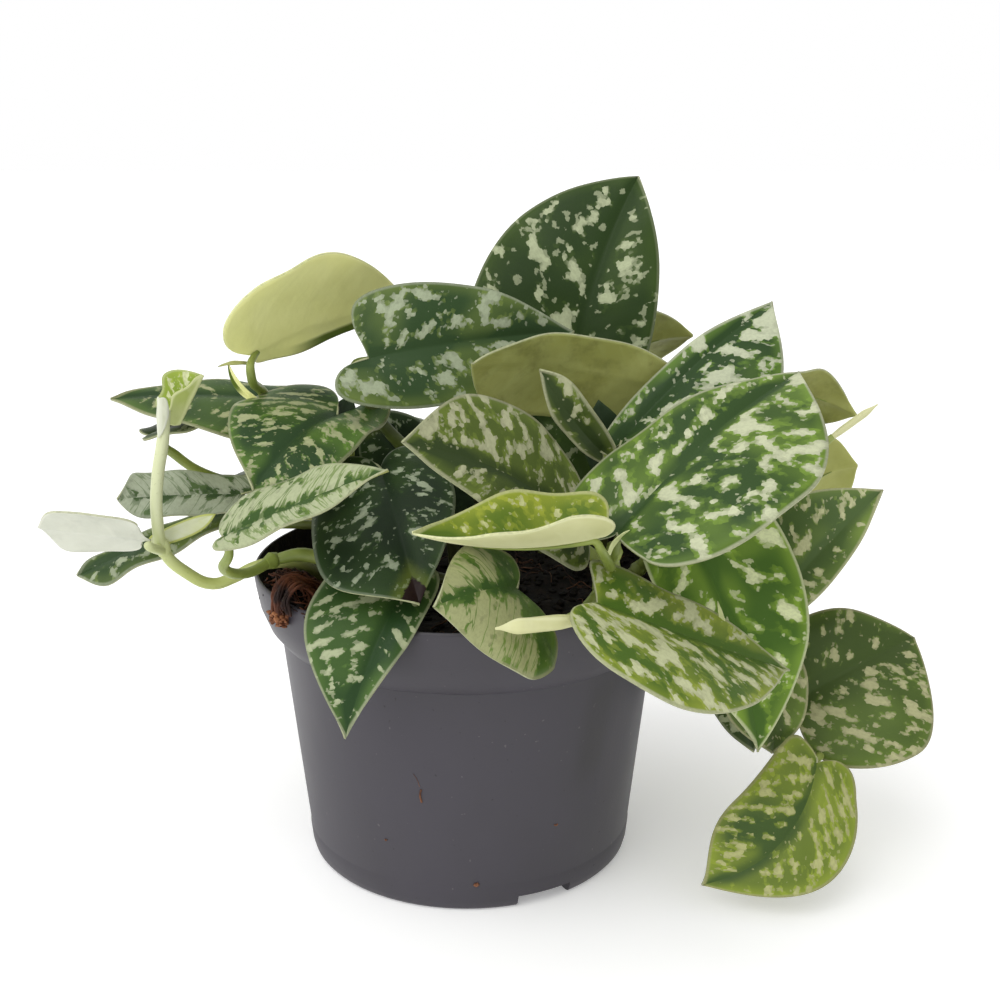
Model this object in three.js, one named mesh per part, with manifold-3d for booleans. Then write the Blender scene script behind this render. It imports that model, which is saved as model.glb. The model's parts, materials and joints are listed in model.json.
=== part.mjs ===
// Satin pothos in a nursery pot. Millimetres, +Z up, the front faces -Y.
// The origin is the centre of the pot's underside, on the surface it stands on.
import * as THREE from "three";
import { mergeVertices } from "three/addons/utils/BufferGeometryUtils.js";
import Module from "manifold-3d";

const wasm = await Module();
wasm.setup();

// ---- driving dimensions -------------------------------------------------
const RIM_R = 60;
const RIM_Z = 85;
const COLLAR_Z = 66;
const STEP_R = 53;
const BASE_R = 46.4;
const WALL = 1.2;
const FLOOR_Z = 5;
const FOOT_H = 3.5;
const FOOT_IN = 37;
const PAD_R = 16;
const NOTCH_W = 16;
const NOTCH_AZ = [-62.5, 57.5, 177.5];
const DRAIN_R = 4;
const DRAIN_AT = 27;
const GAP = 0.3;
const SOIL_Z = 78;
const BLADE = 0.8;
const HOLE_DEPTH = 9;
const POT_SIDES = 40;

// ---- colours ------------------------------------------------------------
const paint = (color, roughness) => new THREE.MeshStandardMaterial({ color, roughness });
const POT_MAT = paint(0x55525c, 0.55);
const SOIL_MAT = paint(0x2c1f18, 0.95);
const ROOT_MAT = paint(0x5a2f1c, 0.9);
const STEM_MAT = paint(0xa9b85c, 0.6);
const LEAF_MAT = paint(0x4f7a3c, 0.6);
const YOUNG_MAT = paint(0x8fae45, 0.6);

// ---- solids -------------------------------------------------------------
const rad = (deg) => (deg * Math.PI) / 180;

// A closed geometry as a solid that can be joined and cut. Triangles that shrink to a line are left out.
function toSolid(geometry) {
  geometry.deleteAttribute("normal");
  geometry.deleteAttribute("uv");
  const merged = mergeVertices(geometry, 1e-4);
  const index = merged.index.array;
  const triangles = [];
  for (let k = 0; k < index.length; k += 3) {
    const [a, b, c] = index.slice(k, k + 3);
    if (a !== b && b !== c && c !== a) triangles.push(a, b, c);
  }
  const vertProperties = new Float32Array(merged.attributes.position.array);
  const triVerts = new Uint32Array(triangles);
  return new wasm.Manifold(new wasm.Mesh({ numProp: 3, vertProperties, triVerts }));
}

function toGeometry(positions, index) {
  const geometry = new THREE.BufferGeometry();
  geometry.setAttribute("position", new THREE.BufferAttribute(new Float32Array(positions), 3));
  geometry.setIndex(new THREE.BufferAttribute(new Uint32Array(index), 1));
  return geometry;
}

function fromSolid(solid) {
  const mesh = solid.getMesh();
  return toGeometry(mesh.vertProperties, mesh.triVerts);
}

// A body turned about the Z axis, from an outline of [radius, height] pairs that starts and ends on it.
function lathe(outline, sides) {
  const profile = outline.map(([r, z]) => new THREE.Vector2(r, z));
  return new THREE.LatheGeometry(profile, sides).rotateX(Math.PI / 2);
}

const turned = (outline, sides) => toSolid(lathe(outline, sides));

function cylinder(x, y, z0, z1, r, sides) {
  const upright = new THREE.CylinderGeometry(r, r, z1 - z0, sides).rotateX(Math.PI / 2);
  return toSolid(upright.translate(x, y, (z0 + z1) / 2));
}

// A round tube with closed ends along a smooth curve through the points.
function tube(points, radius, steps, sides) {
  const extrudePath = new THREE.CatmullRomCurve3(points.map((p) => new THREE.Vector3(...p)));
  extrudePath.curveType = "centripetal";
  const ring = [];
  for (let k = 0; k < sides; k++) {
    const a = (2 * Math.PI * k) / sides;
    ring.push(new THREE.Vector2(radius * Math.cos(a), radius * Math.sin(a)));
  }
  return toSolid(new THREE.ExtrudeGeometry(new THREE.Shape(ring), { steps, extrudePath }));
}

const join = (solids) => solids.reduce((sum, next) => sum.add(next));

// ---- leaf blades --------------------------------------------------------
// base: where the petiole meets the blade. tip: the drip tip. face: where the upper face looks.
// left, right: half widths seen from the upper face with the tip upward. lobe: how far the heart
// lobes reach back. notch: how far they stand apart. full: where along the blade it is widest.
// taper: fullness towards the tip. arch: rise of the midrib. lean: its sideways bow. cup: slope of
// the left half and of the right half in degrees, each from midrib to margin. open: share of the cup
// that is gone at the tip. roll: turn of the blade about its midrib from base to tip. wave: height of
// the edge waves. hook: size of the bend in which the petiole comes up under the base.
const PLAIN = {
  lobe: 6, notch: 0.06, full: 0.32, taper: 0.34, arch: 4, cup: [[14, -14], [14, -14]], lean: 0,
  roll: 0, open: 0, wave: 0.6, turns: 2, hook: 1, rows: 9, cols: 3,
};
// Small blades and those at the back get a coarser grid.
const COARSE = { rows: 8, cols: 2 };
// A value may be one number for both halves or [left half, right half].
const half = (value, sign) => (Array.isArray(value) ? value[sign > 0 ? 0 : 1] : value);

function leafFrame(leaf) {
  const base = new THREE.Vector3(...leaf.base);
  const along = new THREE.Vector3(...leaf.tip).sub(base);
  const length = along.length();
  along.normalize();
  const face = new THREE.Vector3(...leaf.face);
  face.addScaledVector(along, -face.dot(along)).normalize();
  const left = new THREE.Vector3().crossVectors(face, along);
  return { base, along, face, left, length };
}

// Margin of one half, from the petiole round the lobe and the shoulder to the tip.
function margin(leaf, length, sign) {
  const width = sign > 0 ? leaf.left : leaf.right;
  const lobe = half(leaf.lobe, sign);
  const full = half(leaf.full, sign);
  const taper = half(leaf.taper, sign);
  const v = (x, y) => new THREE.Vector2(x, y);
  const curve = (...points) => new THREE.CubicBezierCurve(...points);
  const notch = half(leaf.notch, sign);
  const back = v(-lobe, width * (0.42 + notch / 2));
  const side = v(length * full, width);
  const path = new THREE.CurvePath();
  path.add(curve(v(0, 0), v(-lobe * 0.5, width * notch), v(-lobe, width * (notch + 0.1)), back));
  path.add(curve(back, v(-lobe, width * (0.78 + notch / 4)), v(length * (full - 0.2), width), side));
  const beyond = v((length * (1 + full)) / 2, width);
  path.add(curve(side, beyond, v(length * 0.88, width * taper), v(length, 0)));
  return path;
}

function bladePoint(leaf, length, sign, edge, along, across) {
  const width = sign > 0 ? leaf.left : leaf.right;
  const rib = length * Math.pow(along, 1.25);
  const x = rib + (edge.x - rib) * across;
  const w = edge.y * across;
  const s = x / length;
  const [c0, c1] = half(leaf.cup, sign);
  const fold = 1 - half(leaf.open, sign) * Math.min(1, Math.max(0, (s - 0.2) * 2));
  const a0 = rad(c0) * fold;
  const turn = rad(c1 - c0) * fold * Math.min(1, w / width);
  const reach = Math.abs(turn) < 0.01 ? 1 : Math.sin(turn / 2) / (turn / 2);
  let y = sign * w * reach * Math.cos(a0 + turn / 2);
  let z = w * reach * Math.sin(a0 + turn / 2);
  z += leaf.wave * Math.sin(2 * Math.PI * leaf.turns * s + (sign > 0 ? 0 : 2)) * across * across;
  const spin = rad(leaf.roll) * s;
  [y, z] = [y * Math.cos(spin) - z * Math.sin(spin), y * Math.sin(spin) + z * Math.cos(spin)];
  const bow = s < 0 ? 2 * s : 4 * s * (1 - s);
  return [x, y + leaf.lean * bow, z + leaf.arch * bow];
}

// Grid of one blade: rows of points from the left margin over the midrib to the right margin.
function bladeGrid(leaf) {
  const { base, along, face, left, length } = leafFrame(leaf);
  const { rows, cols } = leaf;
  const leftEdge = margin(leaf, length, 1);
  const rightEdge = margin(leaf, length, -1);
  const grid = [];
  for (let i = 0; i <= rows; i++) {
    const line = [];
    const end = i === 0 || i === rows;
    const step = Math.pow(i / rows, 1.2);
    for (let j = -cols; j <= cols; j++) {
      if (end && j !== 0) continue;
      const sign = j < 0 ? 1 : -1;
      const edge = (j < 0 ? leftEdge : rightEdge).getPoint(step);
      const [x, y, z] = bladePoint(leaf, length, sign, edge, step, Math.abs(j) / cols);
      const p = base.clone();
      p.addScaledVector(along, x).addScaledVector(left, y).addScaledVector(face, z);
      line.push(p);
    }
    grid.push(line);
  }
  return grid;
}

function blade(spec) {
  const leaf = { ...PLAIN, ...spec };
  const grid = bladeGrid(leaf);
  const { rows, cols } = leaf;
  const wide = 2 * cols + 1;
  const mids = grid.flat();
  const id = (i, j) => {
    if (i === 0) return 0;
    if (i === rows) return mids.length - 1;
    return 1 + (i - 1) * wide + j;
  };
  const sheet = [];
  for (let i = 0; i < rows; i++) {
    for (let j = 0; j < wide - 1; j++) {
      const a = id(i, j);
      const b = id(i, j + 1);
      const c = id(i + 1, j);
      const d = id(i + 1, j + 1);
      if (i === 0) sheet.push([a, d, c]);
      else if (i === rows - 1) sheet.push([a, b, c]);
      else if (j < cols) sheet.push([a, b, c], [b, d, c]);
      else sheet.push([a, b, d], [a, d, c]);
    }
  }
  const normals = mids.map(() => new THREE.Vector3());
  const ab = new THREE.Vector3();
  const ac = new THREE.Vector3();
  for (const [a, b, c] of sheet) {
    ab.subVectors(mids[b], mids[a]);
    ac.subVectors(mids[c], mids[a]);
    const n = new THREE.Vector3().crossVectors(ab, ac).normalize();
    for (const k of [a, b, c]) normals[k].add(n);
  }
  const points = [];
  for (const side of [0.5, -0.5]) {
    mids.forEach((p, k) => {
      const n = normals[k].clone().normalize();
      points.push(...p.clone().addScaledVector(n, side * BLADE).toArray());
    });
  }
  const n = mids.length;
  const faces = [];
  for (const [a, b, c] of sheet) faces.push(a, b, c, a + n, c + n, b + n);
  const rimLeft = [];
  const rimRight = [];
  for (let i = 0; i <= rows; i++) {
    rimLeft.push(id(i, 0));
    rimRight.push(id(i, wide - 1));
  }
  const loop = [...rimLeft, ...rimRight.slice(1, -1).reverse()];
  for (let k = 0; k < loop.length; k++) {
    const a = loop[k];
    const b = loop[(k + 1) % loop.length];
    faces.push(a, b, a + n, b, b + n, a + n);
  }
  return toSolid(toGeometry(points, faces));
}

const LEAVES = {
  crown: {
    base: [29, 12, 130], tip: [48, 28, 189], face: [-0.15, -0.85, 0.5],
    left: 34, right: 20, full: [0.24, 0.3], taper: [0.6, 0.4], lean: 2,
  },
  upper_left: {
    base: [-25, -20, 146], tip: [29, -2, 150], face: [-0.1, -0.92, 0.38],
    left: 18, right: 16, lobe: [2.5, 10], notch: [0.3, 0.02], full: [0.2, 0.3], taper: [0.16, 0.34],
  },
  olive_back: {
    base: [48, -8, 137], tip: [2, -32, 147], face: [-0.1, 0.95, 0.35],
    left: 11, right: 16, full: [0.35, 0.55], taper: [0.6, 0.9],
  },
  pale_back: {
    base: [-57, -14, 146], tip: [-16, 15, 155], face: [-0.35, 0.75, 0.55],
    left: 13, right: 24, lobe: [3, 8], cup: [[30, 12], [14, -14]],
  },
  olive_peek: {
    ...COARSE, base: [41, 40, 131], tip: [67, 44, 141], face: [0, 0.7, 0.7],
    left: 18, right: 18,
  },
  upper_right: {
    base: [41, -20, 124], tip: [82, -2, 158], face: [-0.35, -0.8, 0.45],
    left: 6, right: 24, full: [0.3, 0.5],
  },
  front_big: {
    base: [37, -60, 111], tip: [85, -28, 144], face: [-0.25, -0.5, 0.85],
    left: 18, right: 32, full: [0.08, 0.5], lobe: [6, 3],
  },
  right_back: {
    ...COARSE, base: [87, 20, 127], tip: [113, 24, 121], face: [0.1, 0.8, 0.55],
    left: 17, right: 11, taper: [0.5, 0.12],
  },
  right_lime: {
    ...COARSE, base: [98, 25, 95], tip: [116, 31, 104], face: [0.3, 0.8, 0.5],
    left: 15, right: 14, taper: 0.95,
  },
  right_point: { base: [88, 0, 72], tip: [116, 0, 105], face: [0.1, -0.7, 0.7], left: 19, right: 8 },
  hang_lime: {
    base: [54, -34, 109], tip: [77, -42, 45], face: [0.15, -0.93, 0.3],
    left: 23, right: 15, lean: 3, taper: [0.34, 0.1],
  },
  front_heart: {
    base: [32, -70, 97], tip: [83, -48, 72], face: [-0.1, -0.4, 0.9],
    left: 12, right: 31, lobe: [1.5, 10], taper: [0.05, 0.14], notch: 0.18, full: [0.15, 0.22],
  },
  right_round: {
    base: [94, -12, 47], tip: [128, 0, 61], face: [-0.1, -0.75, 0.65],
    left: 20, right: 30, full: [0.3, 0.45],
  },
  low_dark: {
    ...COARSE, base: [84, -20, 63], tip: [84, -26, 37], face: [0.1, -0.9, 0.4],
    left: 9, right: 16, lobe: 3,
  },
  low_dark_2: {
    ...COARSE, base: [71, 6, 54], tip: [84, 2, 24], face: [0.1, -0.9, 0.4],
    left: 10, right: 8, lobe: 3,
  },
  lowest: {
    base: [95, -32, 37], tip: [63, -46, 8], face: [0.1, -0.8, 0.55],
    left: 17, right: 19, lean: 7, lobe: [5, 1], full: [0.32, 0.45], notch: 0.16,
  },
  centre: {
    base: [30, -44, 106], tip: [-14, -62, 134], face: [0.1, -0.75, 0.65],
    left: 15, right: 18, lean: -3, full: [0.3, 0.6], lobe: [6, -4],
  },
  curled: {
    base: [32, -69, 113], tip: [-11, -76.5, 116.3], face: [0, -0.1, 1],
    left: 10, right: 13, cup: [[50, 66], [36, 56]], lobe: 3, arch: -3, open: [0.35, 0.1], taper: [0.34, 0.22],
  },
  centre_dark: {
    base: [-22, -26, 118], tip: [-10.5, -62, 93.5], face: [0, -0.75, 0.65],
    left: 20, right: 24, full: [0.3, 0.6], taper: [0.22, 0.8],
  },
  over_rim: {
    base: [-14, -48, 94], tip: [-29, -66, 60], face: [-0.1, -0.85, 0.5],
    left: 10, right: 20, full: [0.25, 0.3], taper: 0.16, arch: 7,
  },
  silver_heart: {
    base: [13, -66, 99], tip: [-6, -84, 101], face: [0.1, -0.8, 0.6],
    left: 24, right: 12, lobe: [10, 3], full: [0.24, 0.4], notch: 0.15,
  },
  left_heart: {
    base: [-34, -16, 130], tip: [-52, -47, 118], face: [0.1, -0.3, 0.95],
    left: 16, right: 22, lobe: [14, 10], notch: [0.04, 0.14],
  },
  silver_level: {
    base: [-58, -56, 109], tip: [-17, -67, 126], face: [-0.2, -0.45, 0.86],
    left: 11, right: 8, arch: 1, lobe: 2,
  },
  left_long: {
    base: [-45, 12, 127], tip: [-98, 0, 131], face: [0, -0.32, 1],
    left: 20, right: 12, arch: 2, cup: [[6, -18], [6, -18]],
  },
  left_shadow: { ...COARSE, base: [-84, 0, 122], tip: [-62, 8, 119], face: [0, 0, 1], left: 9, right: 9 },
  shoot_young: {
    ...COARSE, base: [-73, -30.2, 131], tip: [-66.5, -29.4, 143.5], face: [-0.88, 0, 0.47],
    left: 8, right: 5, cup: [[60, 85], [50, 75]], lobe: 1, arch: 0, full: [0.5, 0.15],
  },
  left_pale: {
    base: [-80.5, -39.8, 100.5], tip: [-109, -39, 108], face: [0, 0.75, 0.66],
    left: 9, right: 11, arch: 0, lobe: -3, taper: [1.1, 0.9], full: 0.5, hook: 0.4,
  },
  left_low: {
    base: [-70, -2, 98.5], tip: [-107, -14, 84.5], face: [0, -0.4, 0.92],
    left: 9, right: 13, arch: 1, taper: 1, full: 0.45,
  },
  left_grey: {
    base: [-62, -8, 106], tip: [-92, -22, 107], face: [0, -0.4, 0.9],
    left: 14, right: 14, arch: 1, cup: [[8, -8], [8, -8]], taper: [0.8, 1.15], full: 0.45,
  },
  narrow_folded: {
    ...COARSE, base: [35, -27, 123], tip: [19, -30, 145], face: [-0.45, -0.75, 0.5],
    left: 4, right: 6, cup: [[15, 10], [15, 10]], lobe: 3, full: 0.5, taper: [0.3, 1],
  },
  gap_dark: {
    ...COARSE, base: [28, -9, 106], tip: [13, -5, 133], face: [0, -0.8, 0.6],
    left: 13, right: 11,
  },
  gap_dark_2: {
    ...COARSE, base: [-12, 12, 108], tip: [-30, 4, 124], face: [0, -0.8, 0.6],
    left: 13, right: 7,
  },
  back_1: {
    ...COARSE, base: [10, 34, 124], tip: [24, 76, 112], face: [0.1, 0.4, 0.9],
    left: 19, right: 19,
  },
  back_2: {
    ...COARSE, base: [-26, 32, 116], tip: [-44, 78, 100], face: [-0.1, 0.5, 0.85],
    left: 18, right: 18,
  },
  back_3: {
    ...COARSE, base: [44, 34, 106], tip: [78, 66, 88], face: [0.3, 0.4, 0.85],
    left: 18, right: 18,
  },
  back_4: {
    ...COARSE, base: [-52, 28, 104], tip: [-90, 48, 84], face: [-0.3, 0.2, 0.9],
    left: 16, right: 16,
  },
  back_5: { ...COARSE, base: [-2, 62, 96], tip: [-6, 84, 52], face: [0, 0.9, 0.4], left: 18, right: 18 },
  back_6: { ...COARSE, base: [30, 58, 92], tip: [46, 76, 46], face: [0.4, 0.8, 0.4], left: 17, right: 17 },
  back_7: {
    ...COARSE, base: [-34, 58, 90], tip: [-52, 74, 50], face: [-0.4, 0.8, 0.4],
    left: 16, right: 16,
  },
  back_8: { ...COARSE, base: [62, 34, 90], tip: [98, 60, 64], face: [0.5, 0.3, 0.8], left: 16, right: 16 },
};

// ---- living stems -------------------------------------------------------
// foot: where the stem stands in its hole. stem: points above the soil. petioles: leaf name, then
// points on the way from the stem to the base of that leaf.
const STEM_R = 1.9;
const PETIOLE_R = 1.25;
const FOOT_Z = [SOIL_Z - HOLE_DEPTH, SOIL_Z - 2, SOIL_Z + 3.5];
const VINES = {
  left_shoot: {
    foot: [-38, -16],
    stem: [
      [-42, -19, 88], [-49, -22, 91], [-56, -24, 90.5], [-62, -26, 88], [-67, -28, 87],
      [-73, -31, 91], [-78, -34, 98], [-79, -35, 107], [-78, -36, 118],
      [-76, -36, 128], [-75, -35, 135.7],
    ],
    petioles: [["left_pale", [-78, -34, 98]]],
  },
  left_low: {
    foot: [-26, -34],
    stem: [[-32, -33, 92], [-42, -31, 96], [-50, -32, 95]],
    petioles: [["silver_level", [-50, -32, 95], [-56, -40, 94], [-60, -48, 98]]],
  },
  back_left: {
    foot: [-22, 4],
    stem: [[-26, 2, 92], [-34, -2, 104], [-42, -7, 116], [-48, -10, 126]],
    petioles: [
      ["pale_back", [-48, -10, 126], [-54, -9, 134]],
      ["left_long", [-42, -7, 116], [-43, 2, 120]],
      ["left_heart", [-34, -2, 104], [-32, -6, 118]],
      ["left_shadow", [-34, -2, 104], [-62, 5, 105], [-74, 3, 109], [-81, 0, 115]],
      ["left_grey", [-34, -2, 104], [-50, -6, 102]],
      ["left_low", [-26, 2, 92], [-48, 0, 95]],
    ],
  },
  centre: {
    foot: [-4, 8],
    stem: [[-6, 8, 94], [-9, 5, 108], [-15, -3, 124], [-20, -10, 135]],
    petioles: [
      ["upper_left", [-20, -10, 135], [-24, -14, 140]],
      ["gap_dark_2", [-6, 8, 94], [-8, 14, 98]],
      ["centre_dark", [-9, 5, 108], [-16, -12, 110]],
    ],
  },
  back: {
    foot: [22, 26],
    stem: [[22, 26, 95], [24, 23, 112], [27, 18, 121]],
    petioles: [
      ["crown", [27, 18, 121]],
      ["olive_peek", [24, 23, 112], [35, 33, 124]],
      ["back_1", [22, 26, 95], [12, 29, 114]],
    ],
  },
  right: {
    foot: [38, 6],
    stem: [[38, 3, 92], [39, -5, 104], [42, -11, 113]],
    petioles: [
      ["upper_right", [42, -11, 113], [42, -14, 119]],
      ["olive_back", [42, -11, 113], [47, -13, 119]],
      ["right_back", [39, -5, 104], [66, 10, 116]],
      ["right_lime", [38, 3, 92], [64, 10, 98], [84, 18, 96]],
      ["right_point", [38, 3, 92], [52, 2, 97], [70, 12, 86], [84, 9, 70]],
      ["gap_dark", [39, -5, 104], [33, -4, 104]],
      ["narrow_folded", [42, -11, 113], [39, -23, 115]],
      ["roll_right", [66, 10, 114], [88, 14, 112]],
    ],
  },
  right_trail: {
    foot: [42, -18],
    stem: [
      [46, -20, 88], [54, -22, 93], [62, -22, 91], [71, -18, 80],
      [79, -10, 66], [81, -4, 53],
    ],
    petioles: [
      ["hang_lime", [46, -20, 88], [50, -26, 98]],
      ["right_round", [81, -4, 53]],
      ["low_dark", [71, -18, 80], [80, -16, 68]],
      ["low_dark_2", [71, -18, 80], [71, -4, 66]],
      ["lowest", [81, -4, 53], [86, -7, 33], [94, -20, 30]],
    ],
  },
  front_right: {
    foot: [34, -36],
    stem: [[35, -40, 90], [37, -47, 98], [37, -52, 103]],
    petioles: [
      ["curled", [37, -52, 103], [35, -58, 106]],
      ["front_big", [37, -52, 103]],
      ["front_heart", [35, -40, 90], [29, -58, 90]],
      ["centre", [35, -40, 90], [33, -38, 98]],
      ["roll_front", [35, -40, 90], [33, -56, 87], [33, -68, 91]],
    ],
  },
  front: {
    foot: [0, -34],
    stem: [[1, -36, 86], [4, -44, 93]],
    petioles: [
      ["silver_heart", [4, -44, 93], [10, -54, 96]],
      ["over_rim", [1, -36, 86], [-8, -42, 94]],
    ],
  },
  back_far: {
    foot: [-6, 36],
    stem: [[-6, 38, 90], [-6, 42, 98], [-6, 46, 104]],
    petioles: [
      ["back_2", [-6, 42, 98], [-20, 34, 108]],
      ["back_3", [-6, 38, 90], [30, 34, 98]],
      ["back_4", [-6, 38, 90], [-40, 28, 98]],
      ["back_5", [-6, 46, 104]],
      ["back_6", [-6, 42, 98], [18, 50, 96]],
      ["back_7", [-6, 42, 98], [-26, 48, 96]],
      ["back_8", [-6, 38, 90], [40, 34, 89]],
    ],
  },
};

// Where a petiole enters and ends: under the base of its blade, or in line with its rolled leaf.
function seat(name) {
  if (ROLLS[name]) {
    const start = new THREE.Vector3(...ROLLS[name].from);
    const along = new THREE.Vector3(...ROLLS[name].to).sub(start).normalize();
    const end = start.clone().addScaledVector(along, -(GAP + 0.1));
    return { end, entry: end.clone().addScaledVector(along, -4) };
  }
  const leaf = { ...PLAIN, ...LEAVES[name] };
  const { base, along, face } = leafFrame(leaf);
  const end = base.clone().addScaledVector(along, 0.7);
  end.addScaledVector(face, -(BLADE / 2 + GAP + 0.45));
  const entry = end.clone().addScaledVector(face, -4.5 * leaf.hook);
  return { end, entry: entry.addScaledVector(along, -3.5 * leaf.hook) };
}

function petiole([name, ...points]) {
  const { end, entry } = seat(name);
  const path = [...points, entry.toArray(), end.toArray()];
  return tube(path, PETIOLE_R, 2 + path.length, 5);
}

function vine({ foot, stem, petioles }) {
  const path = [...FOOT_Z.map((z) => [...foot, z]), ...stem];
  return join([tube(path, STEM_R, Math.round(path.length * 1.5), 6), ...petioles.map(petiole)]);
}

// ---- pot, root ball, spilled roots ---------------------------------------
function pot() {
  const shell = turned([
    [0, FOOT_H], [FOOT_IN, FOOT_H], [FOOT_IN, 0], [BASE_R - 2.4, 0], [BASE_R - 0.7, 0.8], [BASE_R, 3],
    [STEP_R, COLLAR_Z], [STEP_R + 0.7, COLLAR_Z + 0.5], [STEP_R + 3.4, COLLAR_Z + 4],
    [RIM_R - 1.4, RIM_Z - 9.5], [RIM_R - 0.4, RIM_Z - 4], [RIM_R, RIM_Z - 0.8], [RIM_R - 0.2, RIM_Z],
    [RIM_R - WALL, RIM_Z], [RIM_R - WALL - 0.4, RIM_Z - 4], [RIM_R - WALL - 1.4, RIM_Z - 9.3],
    [STEP_R + 2.5 - WALL / 2, COLLAR_Z + 4.6], [STEP_R - WALL, COLLAR_Z + 1.4],
    [STEP_R - WALL - 0.2, COLLAR_Z - 1], [BASE_R - WALL, 8], [BASE_R - 3.5, FLOOR_Z], [0, FLOOR_Z],
  ], POT_SIDES);
  const pad = cylinder(0, 0, 0, FLOOR_Z - 0.5, PAD_R, 32);
  let body = shell.add(pad);
  for (const az of NOTCH_AZ) {
    const notch = new THREE.BoxGeometry(40, NOTCH_W, FOOT_H + 1).translate(PAD_R + 26, 0, (FOOT_H - 1) / 2);
    body = body.subtract(toSolid(notch.rotateZ(rad(az))));
  }
  for (let k = 0; k < 6; k++) {
    const a = rad(60 * k + 27.5);
    body = body.subtract(cylinder(DRAIN_AT * Math.cos(a), DRAIN_AT * Math.sin(a), 2, 6, DRAIN_R, 14));
  }
  return body;
}

const bump = (x, y) => Math.sin(0.31 * x + 1) * Math.cos(0.27 * y) + 0.6 * Math.sin(0.13 * x - 0.19 * y);

function soil() {
  const edge = SOIL_Z - 1;
  const ball = turned([
    [0, FLOOR_Z + GAP], [BASE_R - 4.2, FLOOR_Z + GAP], [BASE_R - WALL - GAP, 8.4],
    [STEP_R - WALL - GAP - 0.2, COLLAR_Z - 1], [STEP_R - WALL - GAP, COLLAR_Z + 1.5],
    [STEP_R + 1.4, COLLAR_Z + 5], [RIM_R - 3.2, edge], [51, edge], [40, edge], [28, edge],
    [14, edge], [0, edge],
  ], POT_SIDES);
  let body = ball.warp((v) => {
    const r = Math.hypot(v[0], v[1]);
    if (v[2] > edge - 0.5 && r < 54) v[2] += 1.2 + bump(v[0], v[1]);
  });
  for (const { foot } of Object.values(VINES)) {
    body = body.subtract(cylinder(...foot, FOOT_Z[0] - GAP, SOIL_Z + 20, STEM_R + 0.6, 12));
  }
  return body;
}

const ROOT_R = 1.3;
// Wiry brown roots that run over the soil, across the rim and down the collar.
const ROOTS = [
  { az: 211, drop: 74, out: 62.6 }, { az: 214, drop: 79, out: 63.4 }, { az: 217, drop: 76, out: 62.4 },
  { az: 220.5, drop: 81, out: 62.8 },
];
function roots() {
  const at = (az, r, z) => [r * Math.cos(rad(az)), r * Math.sin(rad(az)), z];
  const strands = ROOTS.map(({ az, drop, out }, k) => {
    const over = [at(216, 44, 82), at(az, 51, 84.5), at(az, 57.5, 87), at(az + 1, out - 0.4, 86.6)];
    const down = [at(az, out, (RIM_Z + drop) / 2 + (k % 2)), at(az - 1.5, out - 1, drop)];
    return tube([...over, ...down], ROOT_R, 10, 5);
  });
  const side = tube([at(216, 46, 82.8), at(225, 52, 85.5), at(232, 57, 87)], ROOT_R, 5, 5);
  return join([...strands, side]);
}

// ---- rolled new leaves ----------------------------------------------------
const ROLLS = {
  roll_front: { from: [27, -79, 96], to: [8, -90, 98], r: 1.9 },
  roll_right: { from: [104, 18, 115], to: [118, 20, 125], r: 1 },
};

function roll({ from, to, r }) {
  const start = new THREE.Vector3(...from);
  const along = new THREE.Vector3(...to).sub(start);
  const length = along.length();
  const outline = [[0, 0], [r * 0.7, 0], [r, length * 0.3], [r * 0.9, length * 0.75], [0, length]];
  const turn = new THREE.Quaternion().setFromUnitVectors(new THREE.Vector3(0, 0, 1), along.normalize());
  return toSolid(lathe(outline, 10).applyQuaternion(turn).translate(...from));
}

// ---- the part -------------------------------------------------------------
const part = new THREE.Group();
part.name = "satin_pothos";

function addNode(name, solid, material) {
  const mesh = new THREE.Mesh(fromSolid(solid), material);
  mesh.name = name;
  part.add(mesh);
}

addNode("pot", pot(), POT_MAT);
addNode("soil", soil(), SOIL_MAT);
addNode("roots", roots(), ROOT_MAT);
for (const [name, spec] of Object.entries(VINES)) addNode("vine_" + name, vine(spec), STEM_MAT);
for (const [name, spec] of Object.entries(LEAVES)) addNode("leaf_" + name, blade(spec), LEAF_MAT);
for (const [name, spec] of Object.entries(ROLLS)) addNode(name, roll(spec), YOUNG_MAT);

export default part;
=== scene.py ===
"""Satin pothos in a nursery pot: leaves, stems, root ball and pot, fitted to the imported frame."""

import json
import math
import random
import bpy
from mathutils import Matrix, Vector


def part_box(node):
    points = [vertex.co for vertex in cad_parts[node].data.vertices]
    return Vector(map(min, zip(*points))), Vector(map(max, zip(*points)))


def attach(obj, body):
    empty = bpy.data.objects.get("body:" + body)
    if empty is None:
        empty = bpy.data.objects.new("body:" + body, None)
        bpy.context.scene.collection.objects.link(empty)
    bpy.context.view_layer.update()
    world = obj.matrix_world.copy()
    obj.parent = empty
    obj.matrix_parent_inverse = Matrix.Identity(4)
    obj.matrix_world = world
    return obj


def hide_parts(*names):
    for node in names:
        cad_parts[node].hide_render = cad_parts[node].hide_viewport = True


bl_info = {
    "name": "Satin Pothos",
    "version": (1, 0, 0),
    "blender": (4, 5, 0),
    "location": "3D View > Sidebar > Pothos",
    "description": "Builds a potted satin pothos around its packed frame",
    "category": "Add Mesh",
}

import bmesh
import bpy
from mathutils import Matrix, Vector, geometry, noise

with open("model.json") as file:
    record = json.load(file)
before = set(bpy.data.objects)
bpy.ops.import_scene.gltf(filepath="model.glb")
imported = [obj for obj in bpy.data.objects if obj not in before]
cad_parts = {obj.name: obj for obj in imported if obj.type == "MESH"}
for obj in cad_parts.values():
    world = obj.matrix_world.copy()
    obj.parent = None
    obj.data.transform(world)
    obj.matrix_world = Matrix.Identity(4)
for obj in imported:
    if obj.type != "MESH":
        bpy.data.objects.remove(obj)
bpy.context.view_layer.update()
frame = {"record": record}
pot_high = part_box("pot")[1]

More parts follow.
